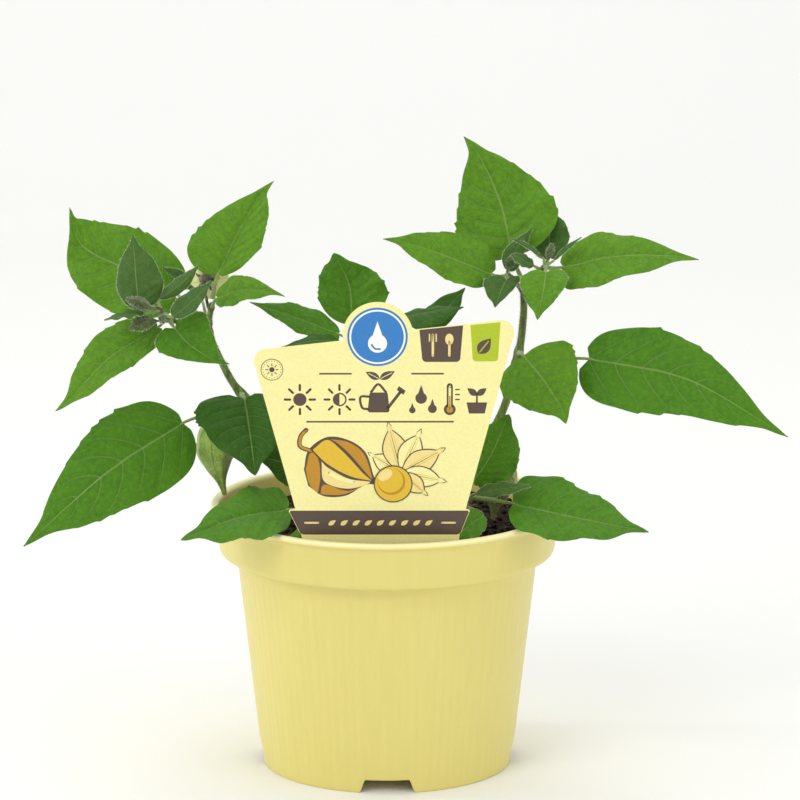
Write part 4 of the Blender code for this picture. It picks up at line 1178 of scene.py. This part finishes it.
def stroke(shape, route, width, finish, layer=1, taper=0.0):
    """An inked line of the given width along a route of (x, z) points, with rounded ends."""
    left, right = [], []
    for i, point in enumerate(route):
        here = Vector(point)
        ahead = (Vector(route[min(i + 1, len(route) - 1)]) - Vector(route[max(i - 1, 0)])).normalized()
        side = Vector((-ahead.y, ahead.x)) * width / 2 * (1 - taper * i / (len(route) - 1))
        left.append(tuple(here + side))
        right.append(tuple(here - side))
    mark(shape, right + left[::-1], finish, layer)
    for end in (0, -1) if taper == 0 else (0,):
        mark(shape, disc(route[end][0], route[end][1], width / 2, steps=10), finish, layer)


def curve(points, steps=16):
    """A smooth route of (x, z) points through a few given ones."""
    lifted = [(x, z, 0) for x, z in points]
    return [tuple(smooth_point(lifted, k / steps).xy) for k in range(steps + 1)]


def leaf_mark(shape, x, z, length, width, tilt, finish, layer=1, vein=None):
    points = []
    for side in (1, -1):
        for k in range(11):
            t = k / 10 if side > 0 else 1 - k / 10
            px, pz = length * t, side * width / 2 * sin(pi * t ** 0.8)
            points.append((x + px * cos(tilt) - pz * sin(tilt), z + px * sin(tilt) + pz * cos(tilt)))
    mark(shape, points[:-1], finish, layer)
    if vein is not None:
        stroke(shape, [(x + length * t * cos(tilt), z + length * t * sin(tilt)) for t in (0.08, 0.8)],
               width * 0.09, vein, layer + 1)


def rounded(corners):
    """An outline of (x, z, radius) corners, each rounded by an arc that touches both of its sides."""
    outline = []
    for k, (x, z, radius) in enumerate(corners):
        here = Vector((x, z))
        to_last = (Vector(corners[k - 1][:2]) - here).normalized()
        to_next = (Vector(corners[(k + 1) % len(corners)][:2]) - here).normalized()
        half = to_last.angle(to_next) / 2
        if radius == 0:
            outline.append(tuple(here))
            continue
        reach = radius / sin(half) * cos(half)
        centre = here + (to_last + to_next).normalized() * radius / sin(half)
        first, last = here + to_last * reach - centre, here + to_next * reach - centre
        for step in range(9):
            outline.append(tuple(centre + first.lerp(last, step / 8).normalized() * radius))
    return outline


def card_outline():
    """The card: a foot band, sides that flare upward, and a round bump in its sloping top edge."""
    bump_x, bump_z, bump_radius = -3.0, 159.0, 11.6
    near, far = STAKE_X + STAKE_HALF, STAKE_X - STAKE_HALF
    right = rounded([(near, STAKE_FOOT_Z + 8, 0), (near, 91.0, 0), (24.2, 91.0, 2.0), (27.4, 99.5, 0.4),
                     (26.0, 99.9, 0), (42.9, 165.0, 4.0), (8.2, 161.2, 0)])
    bump = [(bump_x + bump_radius * cos(radians(a)), bump_z + bump_radius * sin(radians(a)))
            for a in range(16, 180, 4)]
    left = rounded([(-14.4, 157.6, 0), (-44.6, 154.2, 4.0), (-30.3, 99.9, 0), (-32.6, 99.5, 0.4),
                    (-28.6, 91.0, 2.0), (far, 91.0, 0), (far, STAKE_FOOT_Z + 8, 0),
                    (STAKE_X, STAKE_FOOT_Z, 0)])
    return right + bump + left


def printed_card(name, colour, roughness=0.42):
    """Printed polystyrene sheet: an even satin ink film with a faint grain, so it looks flat but not dead."""
    surface, tree, shader = new_material(name, roughness, 0.4, 1.55)
    base = list(colour)
    film = laid_over(tree, scaled(base, 0.965), scaled(base, 1.02), patches(tree, 0.9, 0.35, 0.65))
    grain = add_node(tree, "Bump", Height=patches(tree, 0.5, detail=1.0), Distance=0.01 * MM, Strength=0.4)
    set_inputs(shader, Base_Color=film, Normal=grain)
    return surface


def draw_sun(shape, x, z, size, finish, rays=8, start=0.0, layer=1):
    mark(shape, disc(x, z, size * 0.42), finish, layer)
    for k in range(rays):
        a = start + 2 * pi * k / rays
        stroke(shape, [(x + size * r * cos(a), z + size * r * sin(a)) for r in (0.62, 0.95)], size * 0.15,
               finish, layer)


def draw_drop(shape, x, z, size, finish, layer=1):
    points = [(x, z + size)]
    for k in range(25):
        a = radians(60 - k * 12.5)
        points.append((x + size * 0.56 * cos(a), z - size * 0.34 + size * 0.56 * sin(a)))
    mark(shape, points, finish, layer)


def draw_care_signs(shape):
    """A row of plain care signs: sun, half shade, watering can, drops, warmth, and a potted seedling."""
    z = 137.6
    draw_sun(shape, -28.6, z, 5.2, BROWN)
    mark(shape, disc(-15.6, z, 2.2, start=pi / 2, end=3 * pi / 2), BROWN)
    stroke(shape, disc(-15.6, z, 2.1, start=-pi / 2, end=pi / 2, steps=14), 0.5, BROWN)
    for k in range(8):
        a = 2 * pi * k / 8
        stroke(shape, [(-15.6 + r * cos(a), z + r * sin(a)) for r in (3.3, 4.9)], 0.75, BROWN)
    mark(shape, rounded([(-6.4, 133.2, 0.8), (0.9, 133.2, 0.8), (0.2, 140.0, 0.6), (-5.7, 140.0, 0.6)]),
         BROWN)
    stroke(shape, [(0.2, 134.6), (4.4, 140.2)], 1.0, BROWN)
    mark(shape, [(3.2, 140.9), (5.4, 139.2), (6.1, 140.6), (3.9, 142.2)], BROWN)
    stroke(shape, curve([(-5.8, 138.6), (-8.7, 138.4), (-8.2, 134.9), (-6.2, 134.3)]), 0.8, BROWN)
    stroke(shape, curve([(-5.2, 140.2), (-2.9, 142.8), (-0.4, 140.2)]), 0.8, BROWN)
    draw_drop(shape, 11.2, 139.2, 3.4, BROWN)
    draw_drop(shape, 14.9, 135.3, 2.6, BROWN)
    draw_drop(shape, 8.3, 134.6, 1.9, BROWN)
    stroke(shape, [(20.6, 134.4), (20.6, 142.2)], 2.0, BROWN)
    mark(shape, disc(20.6, 134.2, 1.95), BROWN)
    stroke(shape, [(20.6, 134.6), (20.6, 141.9)], 0.8, CREAM, 2)
    stroke(shape, [(20.6, 134.6), (20.6, 138.6)], 0.5, OCHRE, 3)
    mark(shape, disc(20.6, 134.2, 1.1), OCHRE, 3)
    for step in range(3):
        stroke(shape, [(22.5, 137.6 + step * 1.7), (23.7, 137.6 + step * 1.7)], 0.45, BROWN)
    mark(shape, [(26.9, 132.8), (32.1, 132.8), (32.9, 136.6), (26.1, 136.6)], BROWN)
    stroke(shape, [(29.5, 136.6), (29.5, 139.8)], 0.6, BROWN)
    leaf_mark(shape, 29.5, 139.0, 4.0, 2.2, radians(38), BROWN)
    leaf_mark(shape, 29.5, 139.0, 4.0, 2.2, radians(142), BROWN)


def draw_husk(shape):
    """A ripe closed husk lying on its side, its stalk up to the left: panels between inked ribs."""
    mark(shape, curve([(-27.4, 113.6), (-25.8, 120.4), (-19.6, 124.8), (-12.4, 123.6), (-7.0, 119.4),
                       (-4.6, 112.0), (-3.6, 108.8), (-7.6, 108.2), (-13.6, 104.6), (-20.8, 104.4),
                       (-26.0, 108.0)], 60), BROWN)
    panels = [
        (OCHRE, [(-26.8, 113.6), (-25.2, 119.6), (-22.6, 117.2), (-22.0, 111.0), (-22.8, 105.8),
                 (-25.6, 108.6)]),
        (GOLD, [(-24.6, 120.4), (-20.0, 124.0), (-14.6, 119.8), (-8.2, 112.6), (-5.4, 109.6),
                (-12.4, 111.0), (-19.4, 115.0)]),
        (OCHRE, [(-19.2, 124.1), (-12.8, 123.0), (-7.6, 118.9), (-5.0, 110.6), (-7.6, 113.0),
                 (-13.6, 120.2)]),
        (STRAW, [(-21.6, 116.4), (-19.4, 114.2), (-12.6, 110.4), (-5.6, 109.2), (-12.8, 107.0),
                 (-20.6, 109.4)]),
        (OCHRE, [(-22.0, 105.3), (-20.6, 108.4), (-13.0, 106.2), (-6.6, 108.6), (-13.8, 105.2),
                 (-19.6, 104.9)]),
    ]
    for finish, points in panels:
        mark(shape, curve(points + points[:1], 48)[:-1], finish, 2)
    stroke(shape, curve([(-19.5, 112.6), (-15.4, 110.4), (-10.6, 109.2)]), 1.2, CREAM, 3)
    stroke(shape, curve([(-25.0, 120.0), (-28.6, 121.6), (-28.4, 125.0), (-26.6, 127.2)]), 1.5, BROWN, 3)
    stroke(shape, curve([(-25.0, 120.0), (-28.5, 121.7), (-28.3, 125.0), (-26.7, 126.9)]), 0.8, OCHRE, 4)
    for points in ([(-24.6, 120.2), (-22.4, 117.0), (-21.8, 111.0), (-22.6, 105.4)],
                   [(-24.8, 120.4), (-19.8, 115.4), (-12.4, 111.2), (-4.8, 109.4)],
                   [(-24.6, 120.6), (-19.6, 124.0), (-13.8, 120.2), (-7.8, 113.2), (-4.8, 109.6)]):
        stroke(shape, curve(points, 24), 0.38, BROWN, 5)


def draw_berry(shape):
    """A berry in its opened husk: six pale papery lobes spread up and round it from one root."""
    root = Vector((4.6, 112.6))
    lobes = ((148, 13.0, 6.4), (104, 18.0, 8.4), (66, 16.5, 8.0), (30, 17.0, 8.2), (-12, 15.5, 7.6),
             (-42, 12.0, 6.4))
    for n, (angle, length, width) in enumerate(lobes):
        tilt = radians(angle)
        wavy = []
        for side in (1, -1):
            for k in range(13):
                t = k / 12 if side > 0 else 1 - k / 12
                bow = sin(pi * min(1, t * 1.15)) ** 0.8 if t < 0.85 else 0.35 * (1 - t) / 0.15
                breadth = width / 2 * bow + 0.5 * sin(9 * t + angle) * t * (1 - t)
                px, pz = length * t, side * max(breadth, 0.05)
                wavy.append((root.x + px * cos(tilt) - pz * sin(tilt),
                             root.y + px * sin(tilt) + pz * cos(tilt)))
        centre = Vector((sum(p[0] for p in wavy) / len(wavy), sum(p[1] for p in wavy) / len(wavy)))
        mark(shape, wavy[:-1], BROWN, 1 + 3 * n)
        inner = []
        for p in wavy:
            spoke = Vector(p) - centre
            inner.append(tuple(centre + spoke * (1 - 0.42 / max(spoke.length, 0.9))))
        mark(shape, inner[:-1], STRAW if angle in (104, 30, -42) else CREAM, 2 + 3 * n)
        for bend in (-0.18, 0.0, 0.18):
            line = [(root.x + length * t * cos(tilt + bend * (1 - t)),
                     root.y + length * t * sin(tilt + bend * (1 - t))) for t in (0.2, 0.5, 0.82)]
            stroke(shape, line, 0.28, BROWN if bend == 0 else GOLD, 3 + 3 * n, taper=0.7)
    mark(shape, disc(2.0, 108.7, 6.4), BROWN, 19)
    mark(shape, disc(2.0, 108.7, 6.0), GOLD, 20)
    mark(shape, disc(1.4, 109.5, 4.6), OCHRE, 21)
    mark(shape, disc(1.1, 109.9, 4.2), GOLD, 22)
    mark(shape, disc(-0.6, 111.8, 1.7, wide=1.5, tilt=radians(35)), STRAW, 23)


def build_label(settings):
    """The card on its stake, and its print: round mark, tabs, care signs, a husk and berry, foot band."""
    outline = card_outline()
    inks = [printed_card("cream printed polystyrene sheet", settings.card),
            printed_card("brown ink on polystyrene sheet", settings.brown),
            printed_card("blue ink on polystyrene sheet", settings.blue, 0.3),
            printed_card("white ink on polystyrene sheet", linear("#F6F6F0")),
            printed_card("lime ink on polystyrene sheet", settings.lime),
            printed_card("ochre ink on polystyrene sheet", linear("#BF8A1A")),
            printed_card("gold ink on polystyrene sheet", linear("#E0B92C")),
            printed_card("straw ink on polystyrene sheet", linear("#F0DC8C"))]
    card = Shape()
    lean = radians(CARD_LEAN)
    corners = [(-27.4, FOOT_TUCK_Z), (23.4, FOOT_TUCK_Z), (24.0, 91.1), (-28.4, 91.1)]
    tuck = [on_card(x, z, lift) for lift in (0.02, -0.02 - CARD_THICK) for x, z in corners]
    card.add(tuck, [(0, 1, 2, 3), (7, 6, 5, 4), (0, 4, 5, 1), (1, 5, 6, 2), (2, 6, 7, 3), (3, 7, 4, 0)])
    rings = []
    for depth, inset in ((-0.5, 0.08), (-0.42, 0.0), (0.42, 0.0), (0.5, 0.08)):
        ring = []
        centre = Vector((0, 120))
        for x, z in outline:
            p = Vector((x, z))
            p += (centre - p).normalized() * inset
            up, out = p.y - CARD_FOOT_Z, depth * CARD_THICK
            ring.append((p.x, CARD_Y + out * cos(lean) - up * sin(lean),
                         CARD_FOOT_Z + out * sin(lean) + up * cos(lean)))
        rings.append(ring)
    card.rings(rings)
    card.become("label_card", [inks[CREAM]], ["plant_label"], sharp=30)
    shape = Shape()
    mark(shape, rounded([(-32.4, 99.4, 0.5), (-28.5, 91.1, 1.9), (24.1, 91.1, 1.9), (27.2, 99.4, 0.5)]),
         BROWN)
    for x in (-27.1, 18.2):
        stroke(shape, [(x, 95.2), (x + 4.3, 95.2)], 0.65, STRAW, 2)
    for k in range(9):
        leaf_mark(shape, -19.4 + k * 4.0, 94.4, 3.0, 1.5, radians(34), STRAW, 2)
    for x in (-22.0, 8.2):
        stroke(shape, [(x, 146.4), (x + 10.2, 146.4)], 0.55, BROWN)
    stroke(shape, [(-26.3, 130.0), (21.7, 130.0)], 0.55, BROWN)
    leaf_mark(shape, -2.4, 144.6, 5.6, 2.6, radians(28), BROWN, 1, CREAM)
    leaf_mark(shape, -2.4, 144.6, 5.2, 2.4, radians(152), BROWN, 1, CREAM)
    for layer, (radius, ink) in enumerate(((9.9, BLUE), (9.2, WHITE), (8.6, BLUE)), 1):
        mark(shape, disc(-3.1, 158.9, radius, steps=72), ink, layer)
    draw_drop(shape, -3.1, 158.6, 5.6, WHITE, 4)
    stroke(shape, curve([(-5.0, 156.2), (-3.9, 154.9), (-2.3, 154.8)]), 0.6, BLUE, 5)
    mark(shape, rounded([(10.6, 161.3, 0.1), (11.6, 150.4, 1.4), (23.9, 150.4, 1.4), (24.9, 162.8, 0.1)]),
         BROWN, 1)
    stroke(shape, [(15.0, 152.6), (15.0, 159.6)], 0.8, STRAW, 2)
    for x in (13.9, 15.0, 16.1):
        stroke(shape, [(x, 157.4), (x, 159.8)], 0.45, STRAW, 2)
    mark(shape, disc(20.4, 158.1, 1.9, wide=0.72), STRAW, 2)
    stroke(shape, [(20.4, 152.6), (20.4, 157.2)], 0.8, STRAW, 2)
    mark(shape, rounded([(27.3, 162.9, 0.1), (28.1, 150.6, 1.2), (36.3, 150.6, 1.2), (37.1, 163.9, 0.1)]),
         LIME, 1)
    leaf_mark(shape, 29.9, 153.2, 6.6, 4.2, radians(52), BROWN, 2, LIME)
    seal_x, seal_z = -37.7, 147.8
    mark(shape, disc(seal_x, seal_z, 3.7), BROWN, 1)
    mark(shape, disc(seal_x, seal_z, 3.45), CREAM, 2)
    for k in range(20):
        a = 2 * pi * k / 20
        mark(shape, disc(seal_x + 2.95 * cos(a), seal_z + 2.95 * sin(a), 0.16, steps=6), BROWN, 3)
    draw_sun(shape, seal_x, seal_z, 2.1, BROWN, layer=3)
    draw_care_signs(shape)
    draw_husk(shape)
    draw_berry(shape)
    shape.become("label_print", inks, flat=True)


# ---- stage ----------------------------------------------------------------------------------------

CAMERA_AT = (-0.0065, -1.600, 0.484)
CAMERA_AIM = (-0.0021, 0, 0.126)
LENS = 217.7


def add_light(name, where, wide, tall, power):
    """A soft area light that faces the middle of the plant."""
    light = bpy.data.lights.new(name, "AREA")
    light.shape = "RECTANGLE"
    light.size, light.size_y = wide, tall
    light.energy = power
    lamp = bpy.data.objects.new(name, light)
    lamp.location = where
    lamp.rotation_euler = (Vector((0, 0, 0.1)) - Vector(where)).to_track_quat("-Z", "Y").to_euler()
    bpy.context.scene.collection.objects.link(lamp)


def build_stage(settings):
    """A plain pale floor that curves up behind, a large soft key light, a fill, a top light and a strip."""
    surface, tree, shader = new_material("matt white paper", 0.9, 0.1)
    base = list(settings.floor)
    set_inputs(shader, Base_Color=laid_over(tree, scaled(base, 0.99), base, patches(tree, 200)))
    sweep = [(0.9 + 0.7 * sin(radians(a)), 0.7 - 0.7 * cos(radians(a))) for a in range(10, 91, 10)]
    profile = [(-4.0, 0.0), (0.9, 0.0)] + sweep + [(1.6, 4.0)]
    points = [(x, y, z) for x in (-4.0, 4.0) for y, z in profile]
    size = len(profile)
    data = bpy.data.meshes.new("paper_floor")
    data.from_pydata(points, [], [(k, size + k, size + k + 1, k + 1) for k in range(size - 1)])
    data.shade_smooth()
    data.materials.append(surface)
    floor = bpy.data.objects.new("paper_floor", data)
    bpy.context.scene.collection.objects.link(floor)
    add_light("strip_light", (-1.25, 0.12, 0.25), 0.12, 1.0, settings.key_power * 0.45)
    add_light("key_light", (-0.9, -1.3, 1.3), 0.9, 0.9, settings.key_power)
    add_light("fill_light", (1.3, -1.1, 0.7), 1.0, 1.0, settings.key_power * 0.55)
    add_light("top_light", (0.1, 0.3, 1.7), 1.2, 1.2, settings.key_power * 0.7)
    world = bpy.data.worlds.new("pale_studio")
    world.use_nodes = True
    set_inputs(world.node_tree.nodes["Background"], Color=(1, 1, 1, 1), Strength=0.66)
    bpy.context.scene.world = world
    bpy.context.scene.view_settings.view_transform = "Standard"
    view = bpy.data.cameras.new("camera")
    view.lens = LENS
    view.sensor_width = 36
    camera = bpy.data.objects.new("camera", view)
    camera.location = CAMERA_AT
    camera.rotation_euler = (Vector(CAMERA_AIM) - camera.location).to_track_quat("-Z", "Y").to_euler()
    bpy.context.scene.collection.objects.link(camera)
    bpy.context.scene.camera = camera


# ---- operators and panel --------------------------------------------------------------------------

class PHYSALIS_OT_pot(Operator):
    """Build the moulded pot"""
    bl_idname = "physalis.pot"
    bl_label = "Build pot"

    def execute(self, context):
        build_pot(context.scene.physalis_pot)
        return {"FINISHED"}


class PHYSALIS_OT_soil(Operator):
    """Fill the pot with potting soil"""
    bl_idname = "physalis.soil"
    bl_label = "Build soil"

    def execute(self, context):
        build_soil(context.scene.physalis_pot)
        return {"FINISHED"}


class PHYSALIS_OT_shoots(Operator):
    """Build the five shoots"""
    bl_idname = "physalis.shoots"
    bl_label = "Build shoots"

    def execute(self, context):
        build_shoots(context.scene.physalis_plant)
        return {"FINISHED"}


class PHYSALIS_OT_leaves(Operator):
    """Build every leaf with its stalk"""
    bl_idname = "physalis.leaves"
    bl_label = "Build leaves"

    def execute(self, context):
        build_leaves(context.scene.physalis_plant)
        return {"FINISHED"}


class PHYSALIS_OT_fruits(Operator):
    """Build the husks and the flower buds"""
    bl_idname = "physalis.fruits"
    bl_label = "Build husks and buds"

    def execute(self, context):
        build_fruits()
        return {"FINISHED"}


class PHYSALIS_OT_flower(Operator):
    """Build the open flower"""
    bl_idname = "physalis.flower"
    bl_label = "Build flower"

    def execute(self, context):
        build_flower(context.scene.physalis_plant)
        return {"FINISHED"}


class PHYSALIS_OT_label(Operator):
    """Build the plant label and its print"""
    bl_idname = "physalis.label"
    bl_label = "Build label"

    def execute(self, context):
        build_label(context.scene.physalis_label)
        return {"FINISHED"}


class PHYSALIS_OT_stage(Operator):
    """Set up the floor, the lights and the camera"""
    bl_idname = "physalis.stage"
    bl_label = "Set the stage"

    def execute(self, context):
        build_stage(context.scene.physalis_stage)
        return {"FINISHED"}


OPERATORS = (PHYSALIS_OT_pot, PHYSALIS_OT_soil, PHYSALIS_OT_shoots, PHYSALIS_OT_leaves, PHYSALIS_OT_fruits,
             PHYSALIS_OT_flower, PHYSALIS_OT_label, PHYSALIS_OT_stage)
SETTINGS = {"physalis_pot": PotSettings, "physalis_plant": PlantSettings, "physalis_label": LabelSettings,
            "physalis_stage": StageSettings}


class PHYSALIS_PT_panel(Panel):
    """The plant's settings and its building steps"""
    bl_idname = "PHYSALIS_PT_panel"
    bl_label = "Potted physalis"
    bl_space_type = "VIEW_3D"
    bl_region_type = "UI"
    bl_category = "Physalis"

    def draw(self, context):
        for name in SETTINGS:
            box = self.layout.box()
            group = getattr(context.scene, name)
            for setting in group.bl_rna.properties:
                if setting.identifier not in ("rna_type", "name"):
                    box.prop(group, setting.identifier)
        for operator in OPERATORS:
            self.layout.operator(operator.bl_idname)


def register():
    for cls in (*SETTINGS.values(), *OPERATORS, PHYSALIS_PT_panel):
        bpy.utils.register_class(cls)
    for name, group in SETTINGS.items():
        setattr(bpy.types.Scene, name, PointerProperty(type=group))


def unregister():
    for name in SETTINGS:
        delattr(bpy.types.Scene, name)
    for cls in reversed((*SETTINGS.values(), *OPERATORS, PHYSALIS_PT_panel)):
        bpy.utils.unregister_class(cls)


def main():
    register()
    for step in ("pot", "soil", "shoots", "leaves", "fruits", "flower", "label", "stage"):
        getattr(bpy.ops.physalis, step)()


if __name__ == "__main__":
    main()
